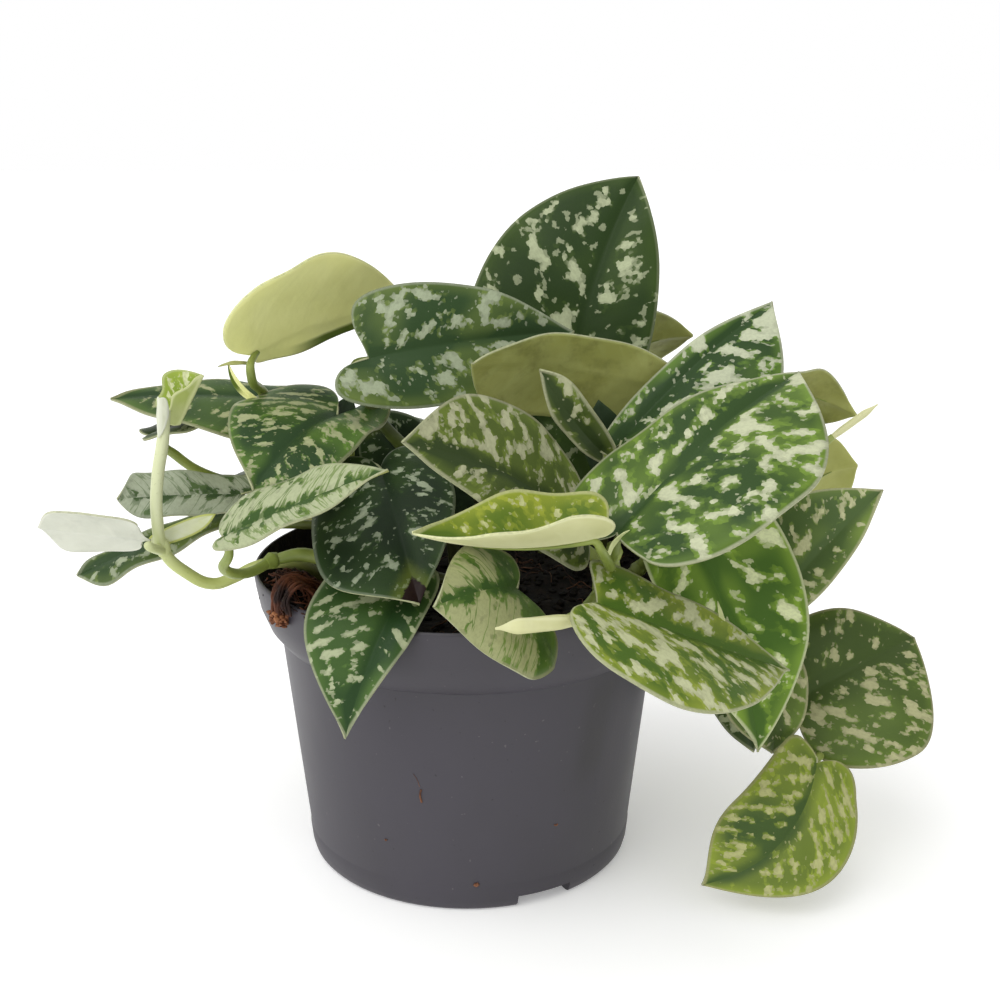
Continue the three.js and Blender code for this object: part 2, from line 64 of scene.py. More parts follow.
MM = 0.001
BODY = "root"
Z_AXIS = Vector((0, 0, 1))
WELD = 1e-6


def shade(code):
    """A linear colour from a hexadecimal display colour."""
    levels = [int(code[k : k + 2], 16) / 255 for k in (0, 2, 4)]
    return tuple(v / 12.92 if v <= 0.04045 else ((v + 0.055) / 1.055) ** 2.4 for v in levels)


def dim(colour, share):
    """The colour with a share of its light."""
    return tuple(share * v for v in colour)


# ---- the plant's measures ------------------------------------------------------
def blade(base, tip, face, left, right, **fields):
    """A blade, in mm. base is where the petiole meets it, tip the drip tip, and face the way the upper side
    looks. left and right are half widths seen from the upper side with the tip up.
    Pairs are (left half, right half). lobe: how far the heart lobes reach back. notch: how far they stand
    apart. full: where along the blade it is widest. taper: how blunt the tip is. arch: rise of the midrib.
    cup: slope of the halves in degrees, from midrib to margin. open: share of the cup that is gone at the
    tip. lean: sideways bow. wave: height of the edge waves. hook: size of the bend in which the petiole
    comes up under the base. rib: share of the blade along which the midrib stands out below. look and
    under: finish of the upper and of the under side."""
    plain = dict(
        lobe=6, notch=0.06, full=0.32, taper=0.34, arch=4, cup=((14, -14), (14, -14)), open=0, lean=0,
        wave=0.6, hook=1, rib=1, look="dark", under="olive",
    )
    return plain | dict(base=base, tip=tip, face=face, left=left, right=right) | fields


def sheath(*place, **fields):
    """A papery sheath or spur on a stalk, or a dark sheet of painted shade, with a blade's fields. finish:
    an under side for both faces.
    """
    return blade(*place, **(dict(lobe=0.3, arch=0, wave=0.1) | fields))


def vine(foot, stem, **petioles):
    """A living stem, in mm. foot: where it stands in its hole. stem: points above the soil. petioles: for
    each leaf, points on the way from the stem to the base of its blade."""
    return foot, stem, petioles


LEAVES = {
    "crown": blade(
        (29, 12, 130), (48, 28, 189), (-0.15, -0.85, 0.5), 34, 20, full=(0.24, 0.3), taper=(0.6, 0.4),
        lean=2, look="crown",
    ),
    "upper_left": blade(
        (-25, -20, 146), (29, -2, 150), (-0.1, -0.92, 0.38), 18, 16, lobe=(2.5, 10), notch=(0.3, 0.02),
        full=(0.2, 0.3), taper=(0.16, 0.34), look="fleck",
    ),
    "olive_back": blade(
        (48, -8, 137), (2, -32, 147), (-0.1, 0.95, 0.35), 11, 16, full=(0.35, 0.55), taper=(0.6, 0.9), rib=0,
        cup=((-4, -14), (4, -14)),
    ),
    "pale_back": blade(
        (-57, -14, 146), (-16, 15, 155), (-0.35, 0.75, 0.55), 7.5, 24, lobe=(-2, 8),
        cup=((-14, -6), (14, -14)), under="pale", full=(0.45, 0.32), rib=0.1,
    ),
    "olive_peek": blade((41, 40, 131), (67, 44, 141), (0, 0.7, 0.7), 18, 18),
    "upper_right": blade(
        (41, -20, 124), (82, -2, 158), (-0.35, -0.8, 0.45), 6, 24, full=(0.3, 0.5), look="streak",
    ),
    "front_big": blade(
        (37, -60, 111), (85, -28, 144), (-0.25, -0.5, 0.85), 18, 32, full=(0.08, 0.5), lobe=(6, 3),
        look="bold",
    ),
    "right_back": blade((87, 20, 127), (113, 24, 121), (0.1, 0.8, 0.55), 17, 11, taper=(0.5, 0.12)),
    "right_lime": blade(
        (98, 25, 95), (116, 31, 104), (0.3, 0.8, 0.5), 15, 14, taper=1, look="lime", under="dull", full=0.45,
    ),
    "right_point": blade((88, 0, 72), (116, 0, 105), (0.1, -0.7, 0.7), 19, 8, look="point"),
    "hang_lime": blade(
        (54, -34, 109), (77, -42, 45), (0.15, -0.93, 0.3), 23, 15, lean=3, taper=(0.34, 0.1), look="lime",
    ),
    "front_heart": blade(
        (32, -70, 97), (83, -48, 70.8), (-0.1, -0.4, 0.9), 14.2, 28.8, lobe=(0.4, 12), taper=(0.12, 0.06),
        notch=0.18, full=(0.15, 0.2), look="fresh", cup=((18, 2), (14, -14)), arch=2, lean=-4, wave=0.2,
    ),
    "right_round": blade(
        (94, -12, 47), (128, 0, 61), (-0.1, -0.75, 0.65), 20, 30, full=(0.3, 0.45), look="soft",
    ),
    "low_dark": blade((84, -20, 63), (84, -26, 37), (0.1, -0.9, 0.4), 9, 16, lobe=3, look="soft"),
    "low_dark_2": blade((71, 6, 54), (84, 2, 24), (0.1, -0.9, 0.4), 10, 8, lobe=3),
    "lowest": blade(
        (95, -32, 37), (63, -46, 8), (0.1, -0.8, 0.55), 17, 16.5, lean=7, lobe=(5, 2), full=(0.32, 0.52),
        notch=(0.16, 0), look="dusk",
    ),
    "centre": blade(
        (30, -44, 106), (-14, -62, 134), (0.1, -0.75, 0.65), 14, 18, lean=-3, full=(0.3, 0.6), lobe=(3, -4),
        look="mid", taper=(0.34, 0.8),
    ),
    "curled": blade(
        (32, -69, 113), (-11, -76.5, 116.3), (0, -0.1, 1), 10, 14, cup=((50, 66), (36, 56)), lobe=3, arch=-3,
        open=(0.35, 0.1), taper=(0.34, 0.22), look="gold", under="cream", hook=0.5,
    ),
    "centre_dark": blade(
        (-22, -26, 118), (-10.5, -62, 93.5), (0, -0.75, 0.65), 16.5, 22, full=(0.3, 0.6), taper=(0.22, 0.8),
        look="shade",
    ),
    "over_rim": blade(
        (-14, -48, 94), (-29, -66, 60), (-0.1, -0.85, 0.5), 8, 20, full=(0.12, 0.3), taper=(0.02, 0.16),
        arch=7, look="rim",
    ),
    "silver_heart": blade(
        (13, -66, 99), (-6, -84, 101), (0.1, -0.8, 0.6), 23.5, 12, lobe=(6, 3), full=(0.34, 0.4), notch=0.15,
        look="silver", taper=(0.6, 0.34),
    ),
    "left_heart": blade(
        (-34, -16, 130), (-52, -47, 118), (0.1, -0.3, 0.95), 15.5, 22, lobe=(14, 10), notch=(0.04, 0.14),
        look="rows", full=(0.62, 0.32), taper=(1.2, 0.34),
    ),
    "silver_level": blade(
        (-58, -56, 109), (-17, -67, 128.5), (-0.2, -0.45, 0.86), 11, 8, arch=1, lobe=2, look="frost",
    ),
    "left_long": blade(
        (-45, 12, 127), (-98, 0, 131), (0, -0.32, 1), 20, 10, arch=2, cup=((6, -18), (6, -18)), look="long",
    ),
    "left_shadow": blade((-84, 0, 122), (-62, 8, 119), (0, 0, 1), 9, 9, hook=0.3),
    "shoot_young": blade(
        (-73, -30.2, 131), (-66.5, -29.4, 143.5), (-0.88, 0, 0.47), 8.8, 5, cup=((60, 85), (50, 75)), lobe=1,
        arch=0, full=(0.6, 0.15), look="spring", under="spring", taper=(1.0, 0.34),
    ),
    "left_pale": blade(
        (-79.8, -39.5, 103), (-108.4, -39, 106.3), (0, 0.75, 0.66), 9, 10, arch=0, lobe=-3, taper=(1.1, 1.4),
        full=(0.6, 0.6), hook=0.12, look="grey", under="white", rib=0, wave=0.15,
    ),
    "left_low": blade(
        (-70, -2, 98.5), (-107, -14, 84.5), (0, -0.4, 0.92), 9, 4, arch=1, taper=(1.3, 1.2), full=0.6,
        look="fleck",
    ),
    "left_grey": blade(
        (-62, -8, 106), (-93.4, -18, 107.4), (0, -0.7, 0.7), 6.6, 7.8, arch=1, cup=((8, -8), (8, -8)),
        taper=(1.3, 0.7), full=(0.35, 0.82), look="grey",
    ),
    "narrow_folded": blade(
        (35, -27, 123), (19, -30, 145), (-0.45, -0.75, 0.5), 4, 6, cup=((15, 10), (15, 10)), lobe=3,
        full=0.5, taper=(0.3, 1), look="mid",
    ),
    "gap_dark": blade((28, -9, 106), (13, -5, 133), (0, -0.8, 0.6), 13, 11),
    "gap_dark_2": blade((-12, 12, 108), (-30, 4, 124), (0, -0.8, 0.6), 16, 9, look="shade", taper=0.8),
    "back_1": blade((10, 34, 124), (24, 76, 112), (0.1, 0.4, 0.9), 19, 19),
    "back_2": blade((-26, 32, 116), (-44, 78, 100), (-0.1, 0.5, 0.85), 18, 18),
    "back_3": blade((44, 34, 106), (78, 66, 88), (0.3, 0.4, 0.85), 18, 18),
    "back_4": blade((-52, 28, 104), (-90, 48, 84), (-0.3, 0.2, 0.9), 16, 16),
    "back_5": blade((-2, 62, 96), (-6, 83, 52), (0, 0.9, 0.4), 18, 18),
    "back_6": blade((30, 58, 92), (46, 76, 46), (0.4, 0.8, 0.4), 17, 17),
    "back_7": blade((-34, 58, 90), (-52, 74, 50), (-0.4, 0.8, 0.4), 16, 16),
    "back_8": blade((62, 34, 90), (98, 60, 64), (0.5, 0.3, 0.8), 16, 16),
}
SHEATHS = {
    "shoot": sheath(
        (-76, -36.8, 139), (-76.6, -37.8, 129), (-0.4, -0.9, 0.1), 2.4, 1.8, cup=((-20, -50), (-20, -50)),
        finish="papery",
    ),
    "pale_back": sheath(
        (-55.4, -14.5, 133.5), (-62.6, -14.5, 144), (0.2, -1, 0.3), 1.3, 1.3, lean=1.6,
        cup=((20, 50), (20, 50)), finish="pale",
    ),
    "pale_back_spur": sheath(
        (-57.6, -14.5, 143.6), (-65.4, -14.5, 142.6), (0, -0.6, 0.8), 0.7, 0.7, arch=0.8, finish="olive",
    ),
    "curled_stalk": sheath(
        (34.6, -66.4, 107.5), (39.4, -67.4, 114), (0.5, -0.8, -0.3), 0.9, 0.7, arch=-1, finish="spring",
    ),
    "hang_lime": sheath((65, -53.4, 83.5), (62.8, -54, 91.5), (0, -1, 0.2), 0.7, 0.7, finish="spring"),
    # dark sheets in the gaps between leaves: painted shade where the plant is deep in shadow
    "shade_patch": sheath((38.5, -13.5, 113.5), (35, -15, 134), (0, -0.8, 0.6), 6, 6, full=0.45, finish="night"),
    "shade_patch_left": sheath((-31, 6, 108), (-32, 4, 122), (0, -0.8, 0.6), 6, 6, finish="night"),
    "shade_patch_upper": sheath((-35, -7, 123), (-31, -9, 134), (0, -0.9, 0.4), 4, 4, finish="night"),
    "shade_patch_middle": sheath((-3, 0, 95), (-3, -2, 110), (0, -0.8, 0.6), 5, 5, finish="night"),
    "behind_shoot": sheath(
        (-82, -31, 100), (-64.8, -30, 106.9), (0.2, -1, 0.4), 1.6, 3, full=0.5, taper=0.7, finish="veil",
    ),
}
VINES = {
    "left_shoot": vine(
        (-38, -16), [(-42, -19, 88), (-49, -22, 91), (-56, -24, 90.5), (-62, -26, 88), (-67, -28, 87),
            (-73, -31, 91), (-78, -34, 98), (-79, -35, 107), (-78, -36, 118), (-76, -36, 128),
            (-75, -35, 135.7)],
        left_pale=[(-78, -34, 98)],
    ),
    "left_low": vine(
        (-26, -34), [(-32, -33, 92), (-42, -31, 96), (-50, -32, 95)],
        silver_level=[(-50, -32, 95), (-56, -40, 94), (-60, -48, 98)],
    ),
    "back_left": vine(
        (-22, 4), [(-26, 2, 92), (-34, -2, 104), (-42, -7, 116), (-48, -10, 126)],
        pale_back=[(-48, -10, 126), (-54, -9, 134)], left_long=[(-42, -7, 116), (-43, 2, 120)],
        left_heart=[(-34, -2, 104), (-32, -6, 118)],
        left_shadow=[(-34, -2, 104), (-62, 5, 105), (-74, 3, 109), (-81, 0, 115)],
        left_grey=[(-34, -2, 104), (-50, -6, 102)], left_low=[(-26, 2, 92), (-48, 0, 95)],
    ),
    "centre": vine(
        (-4, 8), [(-6, 8, 94), (-9, 5, 108), (-19, -4, 120), (-25, -9, 129)],
        upper_left=[(-25, -9, 129), (-28, -13, 138)], gap_dark_2=[(-6, 8, 94), (-8, 14, 98)],
        centre_dark=[(-9, 5, 108), (-16, -12, 110)],
    ),
    "back": vine(
        (22, 26), [(22, 26, 95), (24, 23, 112), (27, 18, 121)],
        crown=[(27, 18, 121)], olive_peek=[(24, 23, 112), (35, 33, 124)],
        back_1=[(22, 26, 95), (12, 29, 114)],
    ),
    "right": vine(
        (38, 6), [(38, 3, 92), (39, -5, 104), (42, -11, 113)],
        upper_right=[(42, -11, 113), (42, -14, 119)], olive_back=[(42, -11, 113), (47, -13, 119)],
        right_back=[(39, -5, 104), (66, 10, 116)], right_lime=[(38, 3, 92), (64, 10, 98), (84, 18, 96)],
        right_point=[(38, 3, 92), (52, 2, 97), (70, 12, 86), (84, 9, 70)],
        gap_dark=[(39, -5, 104), (33, -4, 104)], narrow_folded=[(42, -11, 113), (39, -23, 115)],
        roll_right=[(66, 10, 114), (88, 14, 112)],
    ),
    "right_trail": vine(
        (42, -18), [(46, -20, 88), (54, -22, 93), (62, -22, 91), (71, -18, 80), (79, -10, 66), (81, -4, 53)],
        hang_lime=[(46, -20, 88), (50, -26, 98)], right_round=[(81, -4, 53)],
        low_dark=[(71, -18, 80), (80, -16, 68)], low_dark_2=[(71, -18, 80), (71, -4, 66)],
        lowest=[(81, -4, 53), (86, -7, 33), (94, -20, 30)],
    ),
    "front_right": vine(
        (34, -36), [(35, -40, 90), (37, -47, 98), (37, -52, 103)],
        curled=[(37, -47, 98), (36, -57, 101)], front_big=[(37, -52, 103)],
        front_heart=[(35, -40, 90), (29, -58, 90)], centre=[(35, -40, 90), (33, -38, 98)],
        roll_front=[(35, -40, 90), (33, -56, 87), (33, -68, 91)],
    ),
    "front": vine(
        (0, -34), [(1, -36, 86), (4, -44, 93)],
        silver_heart=[(4, -44, 93), (10, -54, 96)], over_rim=[(1, -36, 86), (-8, -42, 94)],
    ),
    "back_far": vine(
        (-6, 36), [(-6, 38, 90), (-6, 42, 98), (-6, 46, 104)],
        back_2=[(-6, 42, 98), (-20, 34, 108)], back_3=[(-6, 38, 90), (30, 34, 98)],
        back_4=[(-6, 38, 90), (-40, 28, 98)], back_5=[(-6, 46, 104)], back_6=[(-6, 42, 98), (18, 50, 96)],
        back_7=[(-6, 42, 98), (-26, 48, 96)], back_8=[(-6, 38, 90), (40, 34, 89)],
    ),
}
# Young leaves still rolled up: from the petiole's end to the tip in mm, with the greatest radius.
ROLLS = {
    "roll_front": ((27, -79, 96), (8, -90, 98), 1.9),
    "roll_right": ((104, 18, 115), (118, 20, 125), 1.0),
}


def pattern(deep="263a14", bright="3b4f1e", silver="a2aa86", **fields):
    """Finish of the upper side. deep and bright: the greens near the midrib and near the margin. silver:
    colour of the blotches. cover: share of silver. size: width of a blotch in mm. stretch: its length along
    the veins, in widths. rows: how far the blotches keep to the strips between side veins. halo: bright
    green round a blotch. tip: silver towards the tip. net: green lines along the veins that cut the silver
    up. bare: green without silver at the base. dry: share of the blade that is dead and brown at the tip.
    margin: strength of the cream line along the margin. lit: brighter green on the left half."""
    plain = dict(
        cover=0, size=5.5, stretch=1.2, rows=0, halo=0.03, tip=0.4, net=0, bare=0, dry=0, margin=0.9, lit=0
    )
    return plain | dict(deep=deep, bright=bright, silver=silver) | fields


LOOKS = {
    "dark": pattern(margin=0.6),
    "crown": pattern(silver="b0b893", cover=0.01, size=5.6, margin=0.35),
    "fleck": pattern("2f4624", "66783a", "a0aa8c", cover=0.03, size=3.4, stretch=1.3, tip=0.6),
    "long": pattern("2c4422", "5a7434", "a8ac7e", size=3.2, stretch=2, rows=0.03),
    # shade: painted shade, darker greens for the leaves deep inside the plant; the brown dry tip is the
    # leaf's own
    "shade": pattern(
        "1c2c18", "31481f", "97a288", cover=-0.01, size=3, stretch=1.6, rows=0.03, dry=0.17, margin=0.5,
    ),
    "rows": pattern("2a4222", "5c7c30", "a2a87e", cover=0.02, size=1.9, stretch=2.4, rows=0.04),
    "bold": pattern("324a22", "708c36", "c2c7a4", cover=0.035, size=4.4, stretch=1.3, halo=0.07, tip=1),
    "streak": pattern("2c4420", "688832", "bcc2a4", cover=0.08, size=3.6, stretch=1.8, tip=1),
    "mid": pattern(
        "33421f", "64742f", "acae8a", cover=0.04, size=3.2, stretch=1.8, rows=0.03, halo=0.06, tip=0.6,
    ),
    "rim": pattern("26401e", "4c6830", "a8b08c", cover=0.01, size=3, stretch=1.1, rows=0.08),
    "fresh": pattern("4a6620", "8c9a3a", "c6ca9e", cover=0.04, size=3.4, stretch=1.6, halo=0.07, tip=1),
    "lime": pattern("42621e", "7f9e36", "d6deac", cover=0.0, size=5.6, stretch=1.8, halo=0.05, tip=0.3),
    "soft": pattern("445628", "667c34", "b0b084", cover=0.025, size=3.4, stretch=1.4, rows=0.04, tip=0.2),
    "point": pattern("52683a", "7e9644", "c8ca9c", cover=0.02, size=3, stretch=1.6, rows=0.03, tip=0.6),
    "gold": pattern("56701f", "98a236", "c8cc8e", cover=-0.02, size=2.6, halo=0.09, tip=0.2),
    "spring": pattern("7d9634", "a2b24c", "d4daa6", cover=0.0, size=1.2, stretch=3, margin=0.5),
    "dusk": pattern(
        "42582a", "8a9a38", "b2b47a", cover=0.015, size=2.4, stretch=1.3, rows=0.05, halo=0.06, tip=0.2,
        lit=0.4,
    ),
    "silver": pattern(
        "35501e", "5f7834", "989c6e", cover=0.2, size=3, stretch=2, halo=0.08, tip=1, net=0.9, bare=0.2,
    ),
    "frost": pattern("35501e", "647c38", "a8b08a", cover=0.18, size=2.6, stretch=1.6, tip=1, net=0.8),
    "grey": pattern(
        "3c5030", "5a7044", "a8b098", cover=0.24, size=3, stretch=2, halo=0.1, tip=1, net=0.6, bare=0.02,
    ),
}


def under(plain, pale, rib=0.9, stain=0, fold=0, edge="a9ad84"):
    """Finish of the under side: colour, and a paler colour along the veins. rib: how pale the midrib is.
    stain: dull patches. fold: dark green along the margin of the left half. edge: colour of the cut
    edge."""
    return dict(plain=plain, pale=pale, rib=rib, stain=stain, fold=fold, edge=edge)


UNDERS = {
    "olive": under("92954f", "a3a765", rib=0.3, stain=0.6),
    "dull": under("a4a75c", "b2b56c", rib=0.5, edge="b4b76e"),
    # pale: the near-white colour is painted light, standing in for the light that shines through the thin
    # blade from behind
    "pale": under("f8f8a6", "fdfdb4", rib=0.1, fold=1, edge="dcdea0"),
    "cream": under("d2d29c", "dedeb0", edge="d8daa6"),
    "white": under("cdd0c0", "dadccc", rib=0, stain=0.25, edge="c6c9a8"),
    "papery": under("bcc0a2", "d9dcc8"),
    "spring": under("a3b05e", "ccd29a", edge="c8d08c"),
    "veil": under("cfd3bd", "b6bd6a", rib=0),
    # painted shade: near-black green for the sheets that fill the shaded gaps
    "night": under("1d2b1a", "2b3d24", rib=0.3),
}


# ---- shapes --------------------------------------------------------------------
def half(value, sign):
    """A value for one half of a blade; a pair is (left half, right half)."""
    return value[0 if sign > 0 else 1] if isinstance(value, tuple) else value


def smooth(low, high, value):
    """0 below low, 1 above high, and a smooth rise between."""
    t = min(1, max(0, (value - low) / (high - low)))
    return t * t * (3 - 2 * t)


def polar(azimuth, reach, *more):
    """A point at an azimuth in degrees and a distance from the pot's axis."""
    a = math.radians(azimuth)
    return (reach * math.cos(a), reach * math.sin(a), *more)


def leaf_axes(leaf):
    """Base point, direction to the tip, face direction, direction to the left, and length in mm."""
    base = Vector(leaf["base"])
    along = Vector(leaf["tip"]) - base
    length = along.length
    along.normalize()
    face = Vector(leaf["face"])
    face = (face - along * face.dot(along)).normalized()
    return base, along, face, face.cross(along), length


class Margin:
    """Edge of one half of a blade, from the petiole round the lobe and shoulder to the tip."""

    STEPS = 48

    def __init__(self, leaf, length, sign):
        width = leaf["left" if sign > 0 else "right"]
        lobe, notch, full, taper = (half(leaf[key], sign) for key in ("lobe", "notch", "full", "taper"))
        back = (-lobe, width * (0.42 + notch / 2))
        side = (length * full, width)
        beyond = (length * (1 + full) / 2, width)
        curves = (
            ((0, 0), (-lobe * 0.5, width * notch), (-lobe, width * (notch + 0.1)), back),
            (back, (-lobe, width * (0.78 + notch / 4)), (length * (full - 0.2), width), side),
            (side, beyond, (length * 0.88, width * taper), (length, 0)),
        )
        self.points = [Vector((0, 0))]
        for knots in curves:
            self.points += geometry.interpolate_bezier(*(Vector(k) for k in knots), self.STEPS)[1:]
        self.reach = [0.0]
        for a, b in zip(self.points, self.points[1:]):
            self.reach.append(self.reach[-1] + (b - a).length)

    def at(self, share):
        """The point at a share of the edge's length."""
        goal = share * self.reach[-1]
        k = 1
        while k < len(self.reach) - 1 and self.reach[k] < goal:
            k += 1
        span = self.reach[k] - self.reach[k - 1]
        return self.points[k - 1].lerp(self.points[k], min(1, (goal - self.reach[k - 1]) / span))


EDGE_WAVES = 2
# Powers that draw the rows of a blade's grid towards the base, and its columns towards the midrib.
ROW_POWER = 1.2
RIB_POWER = 1.25
# Distance in mm between the maps of the two halves, so that their markings differ.
HALVES_APART = 60


def flat_point(length, edge, step, across):
    """Place on the flat half blade, in mm along and out, and the start of its row on the midrib."""
    rib = length * step**RIB_POWER
    return rib + (edge.x - rib) * across, edge.y * across, rib


def blade_point(leaf, length, sign, edge, step, across):
    """Place of a point of the blade, in mm along, to the left and up from the base."""
    width = leaf["left" if sign > 0 else "right"]
    x, w, _ = flat_point(length, edge, step, across)
    s = x / length
    fold = 1 - half(leaf["open"], sign) * min(1, max(0, (s - 0.2) * 2))
    low, high = (math.radians(a) * fold for a in half(leaf["cup"], sign))
    turn = (high - low) * min(1, w / width)
    reach = 1 if abs(turn) < 0.01 else math.sin(turn / 2) / (turn / 2)
    phase = 0 if sign > 0 else 2
    wave = leaf["wave"] * math.sin(math.tau * EDGE_WAVES * s + phase) * across**2
    bow = 2 * s if s < 0 else 4 * s * (1 - s)
    y = sign * w * reach * math.cos(low + turn / 2) + leaf["lean"] * bow
    return x, y, w * reach * math.sin(low + turn / 2) + wave + leaf["arch"] * bow


def relief(sizes, w, edge, vein, place, seed):
    """Height in mm of the midrib's groove, the side veins' swells and the blade's uneven growth."""
    groove = -sizes.rib_depth / MM * math.exp(-((w / 1.6) ** 2))
    swell = 0.5 - 0.5 * math.cos(math.tau * vein / (sizes.vein_spacing / MM))
    swell *= sizes.vein_depth / MM * smooth(0.5, 6, w) * smooth(0, 5, edge)
    rough = noise.noise(Vector((place.x / 14, place.y / 14, seed))) * smooth(0, 8, w)
    return groove + swell + rough * sizes.unevenness / MM


def map_layers(bm):
    """UV maps for veins, tissue and blade, and the vertices' seed and share of the length."""
    maps = [bm.loops.layers.uv.new(name) for name in ("Veins", "Tissue", "Blade")]
    return maps + [bm.verts.layers.float.new(name) for name in ("seed", "along")]


def grow_blade(name, leaf, sizes, seed, rows, columns, rough):
    """A mesh of one blade's middle surface, with its veins, tissue and margin as UV maps in mm."""
    base, along, face, left, length = leaf_axes(leaf)
    margins = {sign: Margin(leaf, length, sign) for sign in (1, -1)}
    bm = bmesh.new()
    veins, tissue, reach, seeds, shares = map_layers(bm)
    bmesh.ops.create_grid(bm, x_segments=2 * columns, y_segments=rows, size=1)
    edges = {}
    grid = {}
    for v in bm.verts:
        step = ((v.co.y + 1) / 2) ** ROW_POWER
        key = round(step, 6)
        if key not in edges:
            edges[key] = {sign: margins[sign].at(step) for sign in margins}
        grid[v] = (v.co.x, step, edges[key])

    def measures(v, sign):
        x, step, edge = grid[v]
        edge = edge[sign]
        across = min(1, abs(x)) ** RIB_POWER
        x, w, rib = flat_point(length, edge, step, across)
        vein = x - 0.5 * w - 0.3 * w * w / max(leaf["left"], leaf["right"])
        rest = (1 - across) * math.hypot(edge.x - rib, edge.y)
        return edge, step, across, x, w, vein, rest

    for f in bm.faces:
        sign = 1 if f.calc_center_median().x < 0 else -1
        apart = HALVES_APART * sign
        for loop in f.loops:
            _, _, _, x, w, vein, rest = measures(loop.vert, sign)
            loop[veins].uv = (0.8 * vein + apart, 1.3 * w)
            loop[tissue].uv = (0.77 * x - 0.64 * w + apart, 0.64 * x + 0.77 * w)
            loop[reach].uv = (w, rest)
        f.smooth = True
    for v in bm.verts:
        sign = 1 if grid[v][0] < 0 else -1
        edge, step, across, _, w, vein, rest = measures(v, sign)
        x, y, z = blade_point(leaf, length, sign, edge, step, across)
        z += rough * relief(sizes, w, rest, vein, Vector((x, sign * w)), seed)
        v[seeds], v[shares] = seed, max(0, x / length)
        v.co = (base + along * x + left * y + face * z) * MM
    bmesh.ops.remove_doubles(bm, verts=bm.verts, dist=WELD)
    return to_piece(name, bm)


def link_piece(name, data):
    """A new object in the scene that holds a mesh, a lamp or a camera."""
    piece = bpy.data.objects.new(name, data)
    bpy.context.scene.collection.objects.link(piece)
    return piece


def to_piece(name, bm):
    """An object at the origin that holds the bmesh, which is freed."""
    mesh = bpy.data.meshes.new(name)
    bm.to_mesh(mesh)
    bm.free()
    return link_piece(name, mesh)


def thicken(piece, thickness):
    """Gives a sheet its thickness, half to each side."""
    shell = piece.modifiers.new("thickness", "SOLIDIFY")
    shell.thickness, shell.offset = thickness, 0
    return shell


def settle(piece, slot, materials, node=None):
    """Gives a piece its materials, lets it ride on the plant, and hides the node it stands for. slot is not
    used.
    """
    for material in materials:
        piece.data.materials.append(material)
    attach(piece, BODY)
    if node:
        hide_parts(node)


def round_lines(name, lines, sides):
    """A mesh of smooth round stems. Each line is a list of (x, y, z, radius) in mm."""
    curve = bpy.data.curves.new(name, "CURVE")
    curve.dimensions = "3D"
    curve.bevel_depth = MM
    curve.bevel_resolution = max(0, sides // 2 - 2)
    curve.resolution_u = 5
    curve.use_fill_caps = True
    for points in lines:
        spline = curve.splines.new("BEZIER")
        spline.bezier_points.add(len(points) - 1)
        for knot, (x, y, z, radius) in zip(spline.bezier_points, points):
            knot.co = Vector((x, y, z)) * MM
            knot.radius = radius
            knot.handle_left_type = knot.handle_right_type = "AUTO"
    shape = bpy.data.objects.new(name, curve)
    mesh = bpy.data.meshes.new_from_object(shape)
    mesh.name = name
    bpy.data.objects.remove(shape)
    bpy.data.curves.remove(curve)
    mesh.shade_smooth()
    return link_piece(name, mesh)


def turned(outline, steps):
    """A bmesh of the outline, points of (radius, height), turned about the pot's axis."""
    bm = bmesh.new()
    line = [bm.verts.new((r, 0, z)) for r, z in outline]
    edges = [bm.edges.new(pair) for pair in zip(line, line[1:])]
    turn = dict(cent=(0, 0, 0), axis=Z_AXIS, angle=math.tau, steps=steps, use_merge=True)
    bmesh.ops.spin(bm, geom=line + edges, **turn)
    bmesh.ops.remove_doubles(bm, verts=bm.verts, dist=WELD)
    bmesh.ops.recalc_face_normals(bm, faces=bm.faces)
    return bm


# ---- finishes ------------------------------------------------------------------
class Term:
    """An output of a finish's node. Arithmetic with it adds a node to the finish."""

    def __init__(self, finish, socket):
        self.finish, self.socket = finish, socket

    def __add__(self, other):
        return self.finish.math("ADD", self, other)

    def __sub__(self, other):
        return self.finish.math("SUBTRACT", self, other)

    def __mul__(self, other):
        return self.finish.math("MULTIPLY", self, other)

    def __abs__(self):
        return self.finish.math("ABSOLUTE", self)


